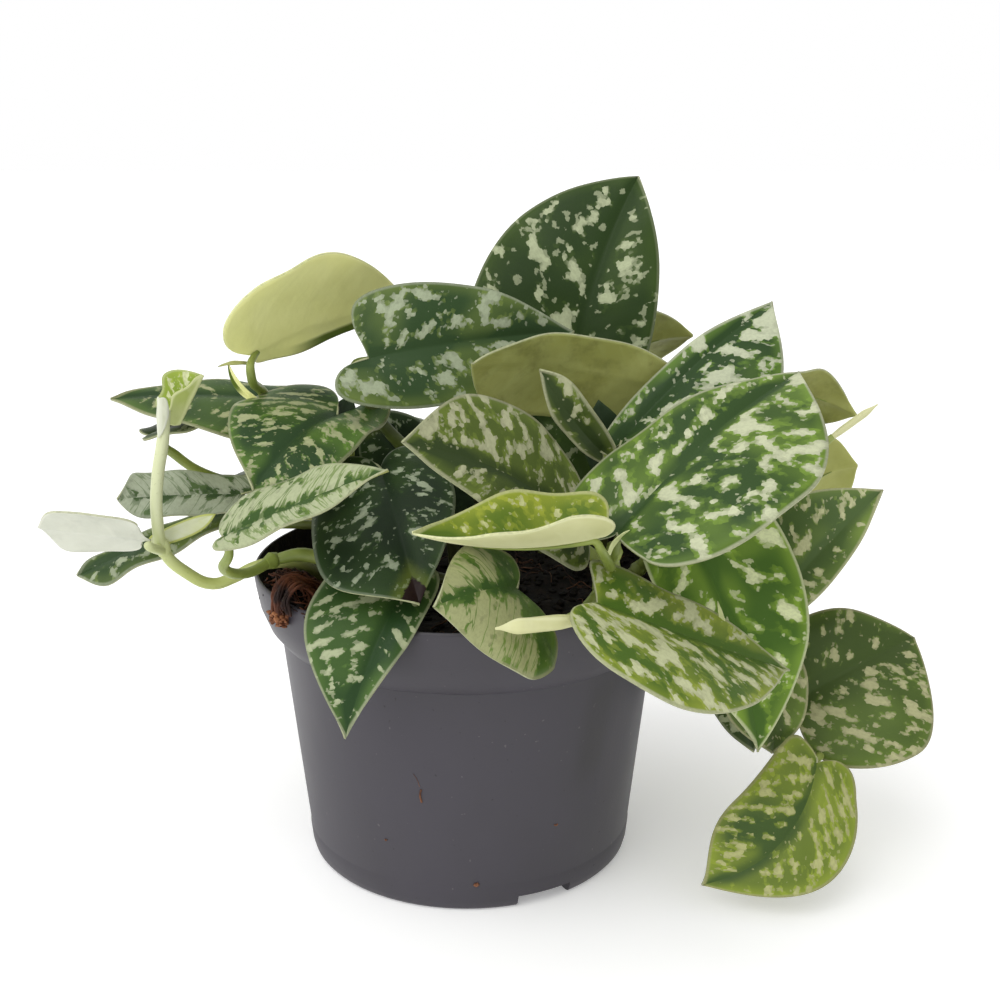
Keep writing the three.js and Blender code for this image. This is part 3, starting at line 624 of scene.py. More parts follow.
class Finish:
    """A material whose nodes are added by short calls, each of which returns a term."""

    def __init__(self, name, roughness, specular=0.5):
        self.material = bpy.data.materials.new(name)
        self.material.use_nodes = True
        self.tree = self.material.node_tree
        self.surface = self.tree.nodes["Principled BSDF"].inputs
        self.surface["Roughness"].default_value = roughness
        self.surface["Specular IOR Level"].default_value = specular

    def put(self, socket, value):
        if isinstance(value, Term):
            self.tree.links.new(value.socket, socket)
        else:
            socket.default_value = value

    def add(self, kind, inputs, output=0, **settings):
        node = self.tree.nodes.new("ShaderNode" + kind)
        for key, value in settings.items():
            setattr(node, key, value)
        for key, value in inputs.items():
            self.put(node.inputs[key], value)
        return Term(self, node.outputs[output])

    def math(self, operation, a, b=0.0):
        return self.add("Math", {0: a, 1: b}, operation=operation)

    def most(self, a, b):
        return self.math("MAXIMUM", a, b)

    def rise(self, value, low, high, start=0.0, end=1.0):
        """A smooth rise from start to end while the value goes from low to high."""
        inputs = {"Value": value, "From Min": low, "From Max": high, "To Min": start, "To Max": end}
        return self.add("MapRange", inputs, interpolation_type="SMOOTHSTEP")

    def mix(self, factor, a, b):
        a, b = ((*v, 1) if isinstance(v, tuple) else v for v in (a, b))
        return self.add("Mix", {"Factor": factor, 6: a, 7: b}, output=2, data_type="RGBA")

    def scale(self, vector, factors):
        return self.add("Mapping", {"Vector": vector, "Scale": factors})

    def noise(self, vector, scale, detail=2, roughness=0.5, seed=0.0):
        inputs = {"Vector": vector, "Scale": scale, "Detail": detail, "Roughness": roughness, "W": seed}
        return self.add("TexNoise", inputs, noise_dimensions="4D")

    def flat(self, vector, u, v, detail, roughness, seed, scale=1.0):
        """Noise over a flat map, with a factor for each of its directions."""
        return self.noise(self.scale(vector, (u, v, 0)), scale, detail, roughness, seed)

    def patches(self, vector, wide, long, share):
        """The vector, drawn by a share towards the middle of the patch it lies in."""
        inputs = {"Vector": self.scale(vector, (1 / wide, 1 / long, 0)), "Scale": 1.0}
        middle = self.add("TexVoronoi", inputs, output="Position", voronoi_dimensions="2D")
        inputs = {0: share, 4: vector, 5: self.scale(middle, (wide, long, 0))}
        return self.add("Mix", inputs, output=1, data_type="VECTOR")

    def value(self, name):
        return self.add("Attribute", {}, output=2, attribute_name=name)

    def map(self, name):
        return self.add("UVMap", {}, uv_map=name)

    def parts(self, vector):
        first = self.add("SeparateXYZ", {0: vector})
        return [Term(self, socket) for socket in first.socket.node.outputs]

    def place(self):
        return self.add("TexCoord", {}, output=3)

    def done(self, colour, height, distance, strength, roughness=None):
        """Joins the colour, the bump and a roughness that varies to the surface."""
        self.put(self.surface["Base Color"], colour)
        if roughness:
            self.put(self.surface["Roughness"], roughness)
        inputs = {"Height": height, "Distance": distance, "Strength": strength}
        self.put(self.surface["Normal"], self.add("Bump", inputs))
        return self.material


def leaf_finish(name, look):
    """Upper side: jagged silver blotches, drawn out along the veins, on green deepest at the rib."""
    s = Finish(name, 0.42, 0.16)
    veins, tissue, seed, along = s.map("Veins"), s.map("Tissue"), s.value("seed"), s.value("along")
    rib, edge, _ = s.parts(s.map("Blade"))
    across_veins = s.parts(veins)[0]
    deep, bright, silver = (shade(look[key]) for key in ("deep", "bright", "silver"))
    size = look["size"]
    limit = 0.57 - look["cover"]
    at_rib = s.rise(rib, 0.4, 3.4, 1, 0)
    at_edge = s.rise(edge, 0, 5, 1, 0)
    slow = s.flat(tissue, 0.06, 0.05, 1, 0.5, seed + 3.1)
    fine = s.flat(tissue, 0.8, 0.5, 3, 0.6, seed, scale=2.0)

    # a blotch takes whole patches of tissue, about a millimetre wide, so its outline is jagged
    place = s.patches(tissue, 0.85, 1.1, 0.7)
    field = s.flat(place, 1 / size, 1 / (size * look["stretch"]), 2, 0.5, seed) + (slow - 0.5) * 0.12
    if look["rows"]:
        field += s.math("SINE", across_veins * (math.tau / 3.6)) * look["rows"]
    field = field - at_rib * 0.16 - at_edge * 0.05 - s.rise(along, 0.05, 0.45, look["bare"] * 1.5, 0)
    field += s.rise(along, 0.75, 1.0, 0, 0.12 * look["tip"])
    dots = s.flat(s.patches(tissue, 0.5, 0.65, 0.6), 2.6 / size, 1.8 / size, 1, 0.5, seed + 7.3)
    dots += s.rise(field, limit - 0.2, limit, -0.12, 0)
    cream = s.most(s.rise(field, limit - 0.006, limit + 0.022), s.rise(dots, 0.59, 0.615, 0, 0.7))
    if look["net"]:
        lines = abs(s.flat(veins, 0.4, 0.05, 3, 0.55, seed) - 0.5) + at_rib * -0.03
        cream -= s.rise(lines, 0.004, 0.03, look["net"], 0)
    cream = s.most(cream, s.rise(edge, 0.35, 1.1, look["margin"], 0))

    glow = s.rise(field, limit - look["halo"] * 1.4, limit, 0, 0.6) + at_edge * 0.45
    glow += s.rise(slow, 0.4, 0.65, 0, 0.5)
    if look["lit"]:
        glow += s.rise(across_veins, 10, 50, 0, look["lit"])
    glow = s.math("MINIMUM", glow, 1.0) - at_rib * 0.4
    green = s.mix(s.most(glow, 0.0), deep, bright)
    # the silver is thickest in the middle of a blotch
    thick = s.rise(field, limit, limit + 0.09, 0, 0.65) + s.rise(fine, 0.35, 0.6, 0, 0.35)
    skin = s.mix(cream, green, s.mix(thick, dim(silver, 0.66), silver))
    if look["dry"]:
        low = 1 - look["dry"]
        ragged = along + (fine - 0.5) * 0.06 - rib * 0.03
        skin = s.mix(s.rise(ragged, low - 0.14, low, 0, 0.6), skin, shade("5f6c26"))
        skin = s.mix(s.rise(ragged, low, low + 0.02), skin, shade("1f110f"))
    grain = s.flat(tissue, 1, 1, 3, 0.6, seed, scale=3.0)
    return s.done(skin, grain, 0.1 * MM, 0.5, s.rise(fine, 0.3, 0.7, 0.36, 0.5))


def under_finish(name, look):
    """Under side: dull green, softly puckered, paler along the rib and the side veins."""
    s = Finish(name, 0.5, 0.2)
    plain, pale = shade(look["plain"]), shade(look["pale"])
    veins, seed, place = s.map("Veins"), s.value("seed"), s.place()
    middle, rest, _ = s.parts(s.map("Blade"))
    cloudy = s.noise(place, 70.0, 3, 0.55, seed)
    ridge = s.flat(veins, 0.3, 0.05, 2, 0.5, seed)
    tone = s.rise(cloudy, 0.35, 0.65, 0, 0.6) + s.rise(ridge, 0.5, 0.62, 0, 0.2)
    tone = s.most(s.most(tone, s.rise(middle, 0.4, 1.6, look["rib"], 0)), s.rise(rest, 0.3, 0.9, 1, 0))
    skin = s.mix(tone, s.mix(s.rise(rest, 0.5, 9, 0, 1), plain, dim(plain, 0.92)), pale)
    if look["stain"]:
        patches = s.noise(place, 100.0, 4, 0.65, seed + 5.2)
        skin = s.mix(s.rise(patches, 0.46, 0.72, 0, look["stain"]), skin, dim(plain, 0.42))
    if look["fold"]:
        strip = s.rise(rest, 2.2, 3.6, 1, 0) * s.rise(s.value("along"), 0.2, 0.5, 0, look["fold"])
        skin = s.mix(strip * s.rise(s.parts(veins)[0], -5, 5), skin, shade("64782f"))
    grain = s.flat(veins, 1, 1, 3, 0.6, seed, scale=2.0)
    pucker = s.noise(place, 170.0, 2, 0.5, seed + 1.4)
    return s.done(skin, grain * 0.15 + pucker * 1.2 + ridge * 0.3, 0.6 * MM, 0.7)


def edge_finish(name, code):
    """The cut edge of a blade: a thin cream line, with the tooth of cut tissue."""
    s = Finish(name, 0.45)
    pale = shade(code)
    spots = s.noise(s.place(), 900.0, 2, 0.5)
    s.put(s.surface["Base Color"], s.mix(s.rise(spots, 0.35, 0.6), dim(pale, 0.8), pale))
    return s.material


def stem_finish(name, young, old, high=None):
    """Stems and petioles: yellow-green, streaked, with a waxy shine; high is a colour further up. Darker
    near the soil, partly soil and partly painted shade.
    """
    s = Finish(name, 0.38, 0.45)
    young, old = shade(young), shade(old)
    place = s.place()
    cloudy = s.noise(place, 60.0, 3, 0.55)
    specks = s.noise(place, 900.0, 2, 0.6)
    tone = s.mix(s.rise(cloudy, 0.35, 0.65), old, young)
    x, y, z = s.parts(place)
    if high:
        tone = s.mix(s.rise(z, 0.088, 0.112, 0, 0.85), tone, shade(high))
    tone = s.mix(s.rise(specks, 0.6, 0.72, 0, 0.3), tone, dim(old, 0.7))
    # soil clings to the stems where they leave the pot, and the darkening there is also painted shade from
    # the leaves above
    reach = s.math("SQRT", x * x + y * y)
    soiled = s.rise(z, 0.092, 0.102, 0.8, 0) * s.rise(reach, 0.044, 0.056, 1, 0)
    return s.done(s.mix(soiled, tone, shade("2c2a18")), specks + cloudy * 2.0, 0.15 * MM, 0.5)


def pot_finish(name, code, pale_code):
    """Moulded plastic: satin, faintly cloudy, with fine grain, scuffs and a few specks, and a painted dark
    reflection.
    """
    s = Finish(name, 0.45)
    grey, pale = shade(code), shade(pale_code)
    place = s.place()
    cloudy = s.noise(s.scale(place, (1, 1, 0.6)), 22.0, 3, 0.55)
    grain = s.noise(place, 1400.0, 3, 0.6)
    specks = s.noise(place, 700.0, 1, 0.4)
    streaks = s.noise(s.scale(place, (120, 120, 12)), 1.0, 3, 0.6)
    tone = s.mix(s.rise(cloudy, 0.4, 0.62, 0, 0.4), grey, pale)
    tone = s.mix(s.rise(streaks, 0.6, 0.75, 0, 0.3), tone, pale)
    tone = s.mix(s.rise(specks, 0.74, 0.78, 0, 0.2), tone, shade("8f8a86"))
    # a slanting dark smear on the front of the wall: a painted reflection of the dark leaves above it
    x, y, z = s.parts(place)
    wide = s.rise(abs(x - z * 0.16 - 0.0265), 0.001, 0.0065, 1, 0)
    high = s.rise(abs(z - 0.05), 0.008, 0.02, 1, 0)
    tone = s.mix(wide * high * s.rise(y, -0.03, -0.02, 0.45, 0), tone, shade("2a2829"))
    tone = s.mix(s.rise(specks, 0.2, 0.27, 0.7, 0), tone, shade("1d1a1c"))
    return s.done(tone, grain + streaks * 1.5, 0.05 * MM, 0.6, s.rise(cloudy, 0.3, 0.7, 0.42, 0.58))


def earth_finish(name, dark, light):
    """Moist peat: almost black, with brown fibres and crumbs."""
    s = Finish(name, 0.9, 0.2)
    place = s.place()
    crumbs = s.noise(place, 420.0, 4, 0.65)
    patches = s.noise(place, 90.0, 3, 0.6)
    tone = s.mix(s.rise(crumbs, 0.45, 0.72), shade(dark), shade(light))
    tone = s.mix(s.rise(patches, 0.5, 0.7, 0, 0.5), tone, dim(shade(dark), 0.4))
    return s.done(tone, crumbs + patches * 2.0, 0.8 * MM, 1.0)


def fibre_finish(name, dark, light):
    """Coir and dry roots: brown strands of uneven colour."""
    s = Finish(name, 0.75, 0.3)
    place = s.place()
    tone = s.mix(s.rise(s.noise(place, 160.0, 3, 0.6), 0.38, 0.64), shade(dark), shade(light))
    return s.done(tone, s.noise(place, 1500.0, 2, 0.6), 0.1 * MM, 0.6)


def floor_finish(name, glow):
    """Plain pale floor, lit a little from below, with the faintest cloud and tooth of painted board."""
    s = Finish(name, 0.6, 0.2)
    place = s.place()
    cloudy = s.rise(s.noise(place, 3.0, 3, 0.5), 0.35, 0.65)
    s.surface["Emission Color"].default_value = (1, 1, 1, 1)
    s.surface["Emission Strength"].default_value = glow
    tone = s.mix(cloudy, (0.93, 0.93, 0.935), (0.95, 0.95, 0.95))
    return s.done(tone, s.noise(place, 700.0, 2, 0.5), 0.05 * MM, 0.3)


# ---- user settings ---------------------------------------------------------------
def measure(name, description, default):
    """A setting of a size, whose default is in mm."""
    return bpy.props.FloatProperty(
        name=name, description=description, default=default * MM, min=0, unit="LENGTH", precision=5
    )


def amount(name, description, default, **more):
    return bpy.props.FloatProperty(name=name, description=description, default=default, **more)


def count(name, description, default, least=0):
    return bpy.props.IntProperty(name=name, description=description, default=default, min=least)


class PotSizes(bpy.types.PropertyGroup):
    rim_radius: measure("Rim radius", "Outer radius of the rim", pot_high.x / MM)
    rim_height: measure("Rim height", "Height of the rim over the floor", pot_high.z / MM)
    collar_height: measure("Collar height", "Height at which the collar starts", 66)
    step_radius: measure("Step radius", "Outer radius just under the collar", 53)
    base_radius: measure("Base radius", "Outer radius at the foot", 46.4)
    wall: measure("Wall", "Thickness of the wall", 1.2)
    floor_height: measure("Floor height", "Top of the inner floor", 5)
    foot_height: measure("Foot height", "Height of the foot ring", 3.5)
    foot_inner: measure("Foot inner radius", "Inner radius of the foot ring", 37)
    pad_radius: measure("Pad radius", "Radius of the central pad", 16)
    notch_width: measure("Notch width", "Width of a notch in the foot ring", 16)
    drain_radius: measure("Drain radius", "Radius of a drain hole", 4)
    drain_reach: measure("Drain reach", "Distance of the drain holes from the axis", 27)


class LeafSizes(bpy.types.PropertyGroup):
    thickness: measure("Thickness", "Thickness of a blade", 0.55)
    rib_depth: measure("Rib depth", "Depth of the groove over the midrib", 0.3)
    vein_depth: measure("Vein depth", "Height of the swells between side veins", 0.12)
    vein_spacing: measure("Vein spacing", "Distance between side veins", 5)
    unevenness: measure("Unevenness", "Height of the blade's slow bumps", 0.9)
    rows: count("Rows", "Faces from base to tip", 56, 8)
    columns: count("Columns", "Faces from rib to margin", 14, 3)


class StemSizes(bpy.types.PropertyGroup):
    stem_radius: measure("Stem radius", "Radius of a living stem", 1.9)
    shoot_radius: measure("Shoot radius", "Radius of the pale young shoot", 1.6)
    petiole_radius: measure("Petiole radius", "Radius of a leaf stalk", 1.25)
    hole_depth: measure("Hole depth", "How deep a stem stands in the soil", 9)


class SoilSizes(bpy.types.PropertyGroup):
    crumbs: count("Crumbs", "Loose crumbs on the soil", 900)
    fibres: count("Fibres", "Strands of coir on the soil", 170)


class StageLook(bpy.types.PropertyGroup):
    lens: amount("Lens", "Focal length of the camera in mm", 54)
    camera_height: measure("Camera height", "Height of the camera over the floor", 217.8)
    camera_reach: measure("Camera reach", "Distance of the camera in front of the pot's axis", 403.7)
    camera_side: measure("Camera side", "Offset of the camera to the right", 9)
    camera_pitch: amount("Camera pitch", "How far the camera looks down", math.radians(16), unit="ROTATION")
    sky: amount("Sky", "Strength of the white surroundings", 1.0)
    key: amount("Key", "Strength of the key light", 1.1)
    floor_glow: amount("Floor glow", "Light that comes up through the floor", 0.25)


# ---- builders --------------------------------------------------------------------
class PotMaker(bpy.types.Operator):
    """Turn the pot, cut its notches and drain holes, and give it its plastic"""

    bl_idname = "pothos.pot"
    bl_label = "Pot"

    NOTCHES = (-62.5, 57.5, 177.5)
    DRAINS = 6
    FIRST_DRAIN = 27.5
    CREASE = math.radians(38)
    # the inner wall is soiled above this height
    SOILED = 70 * MM

    def outline(self, p):
        """Half section from the underside's centre, round the wall, to the inner floor's centre."""
        rim, top, step, foot = (v / MM for v in (p.rim_radius, p.rim_height, p.step_radius, p.base_radius))
        wall, collar, ring = p.wall / MM, p.collar_height / MM, p.foot_inner / MM
        under, floor = p.foot_height / MM, p.floor_height / MM
        points = (
            (0, under), (ring, under), (ring, 0.6), (ring + 0.6, 0), (foot - 2.4, 0), (foot - 1.3, 0.3),
            (foot - 0.5, 1.2), (foot, 3), (foot + 0.42, 7), (foot + 0.28, 7.5), (foot + 0.33, 8),
            (step, collar), (step + 0.35, collar + 0.15), (step + 0.9, collar + 0.7),
            (step + 3.4, collar + 4), (rim - 1.4, top - 9.5), (rim - 0.4, top - 4), (rim, top - 0.9),
            (rim - 0.12, top - 0.3), (rim - 0.4, top), (rim - wall + 0.3, top), (rim - wall, top - 0.4),
            (rim - wall - 0.4, top - 4), (rim - wall - 1.4, top - 9.3), (step + 1.9, collar + 4.6),
            (step - wall, collar + 1.4), (step - wall - 0.2, collar - 1), (foot - wall, 8),
            (foot - 3.5, floor), (0, floor),
        )
        return [(r * MM, z * MM) for r, z in points]

    def execute(self, context):
        p = context.scene.pothos_pot
        pot = to_piece("pot_shell", turned(self.outline(p), 144))
        tools = [self.drum("pad", p.pad_radius, 0, p.floor_height - 0.5 * MM, 0, 0)]
        for k in range(self.DRAINS):
            x, y = polar(360 * k / self.DRAINS + self.FIRST_DRAIN, p.drain_reach)
            tools.append(self.drum("drain", p.drain_radius, 2 * MM, 6 * MM, x, y))
        tools += [self.notch(p, az) for az in self.NOTCHES]
        for tool in tools:
            cut = pot.modifiers.new(tool.name, "BOOLEAN")
            cut.operation = "UNION" if tool is tools[0] else "DIFFERENCE"
            cut.object = tool
            cut.solver = "EXACT"
        cut_mesh = bpy.data.meshes.new_from_object(pot.evaluated_get(context.evaluated_depsgraph_get()))
        pot.modifiers.clear()
        pot.data = cut_mesh
        for tool in tools:
            bpy.data.objects.remove(tool)
        pot.data.shade_smooth()
        pot.data.set_sharp_from_angle(angle=self.CREASE)
        for face in pot.data.polygons:
            middle = face.center
            inwards = face.normal.dot(Vector((middle.x, middle.y, 0))) < 0
            face.material_index = int(inwards and middle.z > self.SOILED)
        plastic = pot_finish("pot plastic", "37343b", "434049")
        settle(pot, "pot_plastic", [plastic, earth_finish("soiled plastic", "120e0c", "241c18")], "pot")
        return {"FINISHED"}

    def drum(self, name, radius, low, high, x, y):
        """An upright cylinder to join or cut with, in metres."""
        bm = bmesh.new()
        size = dict(segments=40, radius1=radius, radius2=radius, depth=high - low)
        place = Matrix.Translation((x, y, (low + high) / 2))
        bmesh.ops.create_cone(bm, **size, cap_ends=True, matrix=place)
        return to_piece(name, bm)

    def notch(self, p, az):
        """A block that cuts the foot ring open at an azimuth."""
        bm = bmesh.new()
        bmesh.ops.create_cube(bm, size=1)
        bmesh.ops.scale(bm, vec=(40 * MM, p.notch_width, p.foot_height + MM), verts=bm.verts)
        bmesh.ops.translate(bm, vec=(p.pad_radius + 26 * MM, 0, (p.foot_height - MM) / 2), verts=bm.verts)
        bmesh.ops.rotate(bm, matrix=Matrix.Rotation(math.radians(az), 3, "Z"), verts=bm.verts)
        return to_piece("notch", bm)


# Height of the soil's edge in mm.
SOIL_TOP = 77


def soil_height(x, y):
    """Height of the soil's surface at a place, all in metres."""
    u, v = x / MM, y / MM
    bump = math.sin(0.31 * u + 1) * math.cos(0.27 * v) + 0.6 * math.sin(0.13 * u - 0.19 * v)
    fine = noise.fractal(Vector((u / 6, v / 6, 4)), 0.9, 2, 3)
    fade = smooth(57, 50, math.hypot(u, v)) if math.hypot(u, v) > 50 else 1
    return (SOIL_TOP + fade * (1.2 + bump + 0.9 * fine)) * MM


def add_crumb(bm, draw, x, y, z, size):
    """Adds an uneven crumb of about the given radius, all in metres."""
    made = bmesh.ops.create_icosphere(bm, subdivisions=1, radius=size)["verts"]
    stretch = (draw.uniform(0.6, 1.5), draw.uniform(0.5, 1), draw.uniform(0.4, 0.8))
    bmesh.ops.scale(bm, vec=stretch, verts=made)
    bmesh.ops.rotate(bm, matrix=Matrix.Rotation(draw.uniform(0, math.tau), 3, "Z"), verts=made)
    bmesh.ops.translate(bm, vec=(x, y, z), verts=made)


class SoilMaker(bpy.types.Operator):
    """Make the root ball with its rough top, loose crumbs and strands of coir"""

    bl_idname = "pothos.soil"
    bl_label = "Root ball"

    GAP = 0.3
    RINGS = 34

    def outline(self, p):
        """Half section from the underside's centre, up the side, to the top's centre."""
        low, foot, inner = p.floor_height / MM + self.GAP, p.base_radius / MM, p.wall / MM + self.GAP
        step, collar, rim = p.step_radius / MM, p.collar_height / MM, p.rim_radius / MM - 3.2
        side = [
            (0, low), (foot - 4.2, low), (foot - inner, 8.4), (step - inner - 0.2, collar - 1),
            (step - inner, collar + 1.5), (step + 1.4, collar + 5), (rim, SOIL_TOP),
        ]
        top = [((1 - k / self.RINGS) * rim, SOIL_TOP) for k in range(1, self.RINGS + 1)]
        return [(r * MM, z * MM) for r, z in side + top]

    def execute(self, context):
        p, sizes = context.scene.pothos_pot, context.scene.pothos_soil
        bm = turned(self.outline(p), 120)
        for v in bm.verts:
            if v.co.z > (SOIL_TOP - 0.1) * MM and v.co.xy.length < p.rim_radius - 3.3 * MM:
                v.co.z = soil_height(v.co.x, v.co.y)
        for f in bm.faces:
            f.smooth = True
        earth = earth_finish("moist peat", "0a0806", "1e150d")
        settle(to_piece("root_ball", bm), "root_ball", [earth], "soil")
        draw = random.Random(11)
        settle(self.crumbs(p, sizes.crumbs, draw), "root_ball", [earth])
        fibre = fibre_finish("coir", "24150c", "553621")
        settle(self.fibres(p, sizes.fibres, draw), "root_fibre", [fibre])
        return {"FINISHED"}

    def spot(self, draw, reach):
        """A random place within a distance of the pot's axis."""
        a, r = draw.uniform(0, math.tau), reach * math.sqrt(draw.random())
        return r * math.cos(a), r * math.sin(a)

    def crumbs(self, p, number, draw):
        bm = bmesh.new()
        for _ in range(number):
            x, y = self.spot(draw, p.rim_radius - 5 * MM)
            size = draw.uniform(0.4, 1.7) * MM
            add_crumb(bm, draw, x, y, soil_height(x, y) + 0.2 * size, size)
        return to_piece("peat_crumbs", bm)

    def fibres(self, p, number, draw):
        lines = []
        for _ in range(number):
            x, y = self.spot(draw, p.rim_radius - 8 * MM)
            turn = draw.uniform(0, math.tau)
            step, thick, line = draw.uniform(1.2, 3.2), draw.uniform(0.09, 0.24), []
            for k in range(5):
                lift = 0.3 + 1.6 * math.sin(math.pi * k / 4) * draw.random()
                if math.hypot(x, y) < p.rim_radius - 4.5 * MM:
                    line.append((x / MM, y / MM, soil_height(x, y) / MM + lift, thick))
                turn += draw.uniform(-0.7, 0.7)
                x, y = x + step * MM * math.cos(turn), y + step * MM * math.sin(turn)
            if len(line) > 2:
                lines.append(line)
        return round_lines("coir_strands", lines, sides=4)


# What clings to the pot's wall: (azimuth in degrees, height in mm) of a line's points, and its radius.
STRAYS = (
    ([(256, 82.4), (257.2, 80.9), (259, 79.8)], 0.07),
    ([(254.4, 42), (255.6, 40.2), (256.2, 38.2)], 0.05),
    ([(256.6, 37.4), (256.2, 35.6), (256.6, 33.6)], 0.28),
    ([(272.6, 8.8), (273.2, 8.4), (274, 8.9)], 0.5),
    ([(299, 24), (299.6, 23.6), (300.2, 24)], 0.2),
    ([(243, 20), (243.4, 19.6), (243.8, 20)], 0.18),
)


def wall_point(p, azimuth, height):
    """A point just off the pot's outer wall, in mm."""
    low = (p.base_radius / MM + 0.33, 8)
    high = (p.step_radius / MM, p.collar_height / MM)
    if height > high[1]:
        low, high = (p.rim_radius / MM - 3.6, high[1] + 4), (p.rim_radius / MM, p.rim_height / MM)
    reach = low[0] + (high[0] - low[0]) * (height - low[1]) / (high[1] - low[1]) + 0.1
    return polar(azimuth, reach, height)


class RootMaker(bpy.types.Operator):
    """Make the tuft of brown roots that spills over the rim, and the specks on the wall"""

    bl_idname = "pothos.roots"
    bl_label = "Spilled roots"

    # azimuth of a bundle, its spread, its strands and how low it hangs in mm
    BUNDLES = ((217.3, 1.5, 22, 79.6), (221.6, 1.2, 12, 83.6))
    TANGLE = 80
    CRUMBS = 110
    FILL = 260

    def execute(self, context):
        draw = random.Random(5)
        strands = self.strands(draw)
        ends = [line[-1] for line in strands[: self.BUNDLES[0][2]]]
        roots = round_lines("spilled_roots", strands + self.tangle(draw), sides=6)
        settle(roots, "root_fibre", [fibre_finish("dry roots", "200f0a", "643823")], "roots")
        crumbs = self.crumbs("root_crumbs", draw, self.CRUMBS, lambda: self.hanging(draw, ends))
        settle(crumbs, "root_fibre", [fibre_finish("coir crumbs", "5a3220", "a8704a")])
        heap = self.crumbs("root_heap", draw, self.FILL, lambda: self.heaped(draw))
        settle(heap, "root_ball", [earth_finish("heaped peat", "100a07", "2a1a12")])
        p = context.scene.pothos_pot
        strays = [[(*wall_point(p, *at), thick) for at in line] for line, thick in STRAYS]
        piece = round_lines("stray_fibres", strays, sides=6)
        settle(piece, "root_fibre", [fibre_finish("stray fibres", "4a2f22", "8a5c40")])
        return {"FINISHED"}

    def strands(self, draw):
        """Strands from the soil up the heap, over the rim and down the collar."""
        def stray(reach):
            return draw.uniform(-reach, reach)

        lines = []
        for middle, spread, number, drop in self.BUNDLES:
            for _ in range(number):
                az, thick = middle + stray(spread), draw.uniform(0.18, 0.48)
                knots = [
                    (az + stray(5), 45 + stray(4), 83),
                    (az + stray(3), 52, self.height(az, 52) + stray(0.8)),
                    (az + stray(1), 58, 90.4 + stray(0.9)), (az + stray(0.4), 61.3 + stray(0.5), 87.6),
                    (az + stray(0.4), 61.8 + stray(0.5), (86 + drop) / 2),
                    (az + stray(0.8), 61.2 + stray(0.4), drop + stray(1)),
                ]
                lines.append([polar(*knot, thick) for knot in knots])
        return lines

    def tangle(self, draw):
        """Fine strands that lie on the heap every way."""
        lines = []
        for _ in range(self.TANGLE):
            az, r, line = draw.uniform(199, 236), draw.uniform(47, 59), []
            for _ in range(5):
                height = self.height(az, r) + draw.uniform(-0.2, 1.6)
                line.append(polar(az, r, height, draw.uniform(0.1, 0.3)))
                az, r = az + draw.uniform(-4.5, 4.5), min(60.4, max(44, r + draw.uniform(-4, 4)))
            lines.append(line)
        return lines

    def crumbs(self, name, draw, number, pick):
        bm = bmesh.new()
        for _ in range(number):
            add_crumb(bm, draw, *(v * MM for v in pick()))
        return to_piece(name, bm)

    def hanging(self, draw, ends):
        """Place and size of a crumb near the end of a strand, in mm."""
        x, y, z, _ = draw.choice(ends)
        x, y = x + draw.uniform(-1.5, 1.5), y + draw.uniform(-0.9, 0.9)
        return x, y, z + draw.uniform(-0.6, 3), draw.uniform(0.5, 1.2)

    def heaped(self, draw):
        """Place and size of a crumb in the heap, in mm."""
        az, r = draw.uniform(196, 238), draw.uniform(44, 58.4)
        return polar(az, r, draw.uniform(79, self.height(az, r)), draw.uniform(0.8, 2))

    def height(self, az, r):
        """Height of the heap of roots and peat that leans on the rim, in mm."""
        return 81 + 9.3 * math.exp(-(((az - 213) / 11) ** 2)) * smooth(40, 54, r)


RIB_KNOTS = 8
# How far the upper side of a rib lies under the middle of its blade, in mm.
RIB_SEAT = 0.44


def petiole_line(name, points, sizes):
    """Points of a petiole: from its stem into the base of its blade and on as the rib under it."""
    radius = sizes.petiole_radius / MM
    if name in ROLLS:
        start, end = (Vector(point) for point in ROLLS[name][:2])
        along = (end - start).normalized()
        line = [(*p, radius) for p in points]
        return line + [(*(start - along * 4), radius * 0.9), (*(start + along * 1.5), radius * 0.8)]
    leaf = LEAVES[name]
    base, along, face, left, reach = leaf_axes(leaf)
    seat = base + along * 0.7 - face * 1.4
    entry = seat - (face * 4.5 + along * 3.5) * leaf["hook"]
    line = [(*p, radius * 1.1) for p in points] + [(*entry, radius * 0.95), (*seat, radius * 0.75)]
    margin = Margin(leaf, reach, 1)
    for k in range(1, 1 + round(RIB_KNOTS * leaf["rib"])):
        step, thick = 0.09 * k, radius * (0.55 - 0.055 * k)
        x, y, z = blade_point(leaf, reach, 1, margin.at(step), step, 0)
        line.append((*(base + along * x + left * y + face * (z - RIB_SEAT - thick)), thick))
    return line


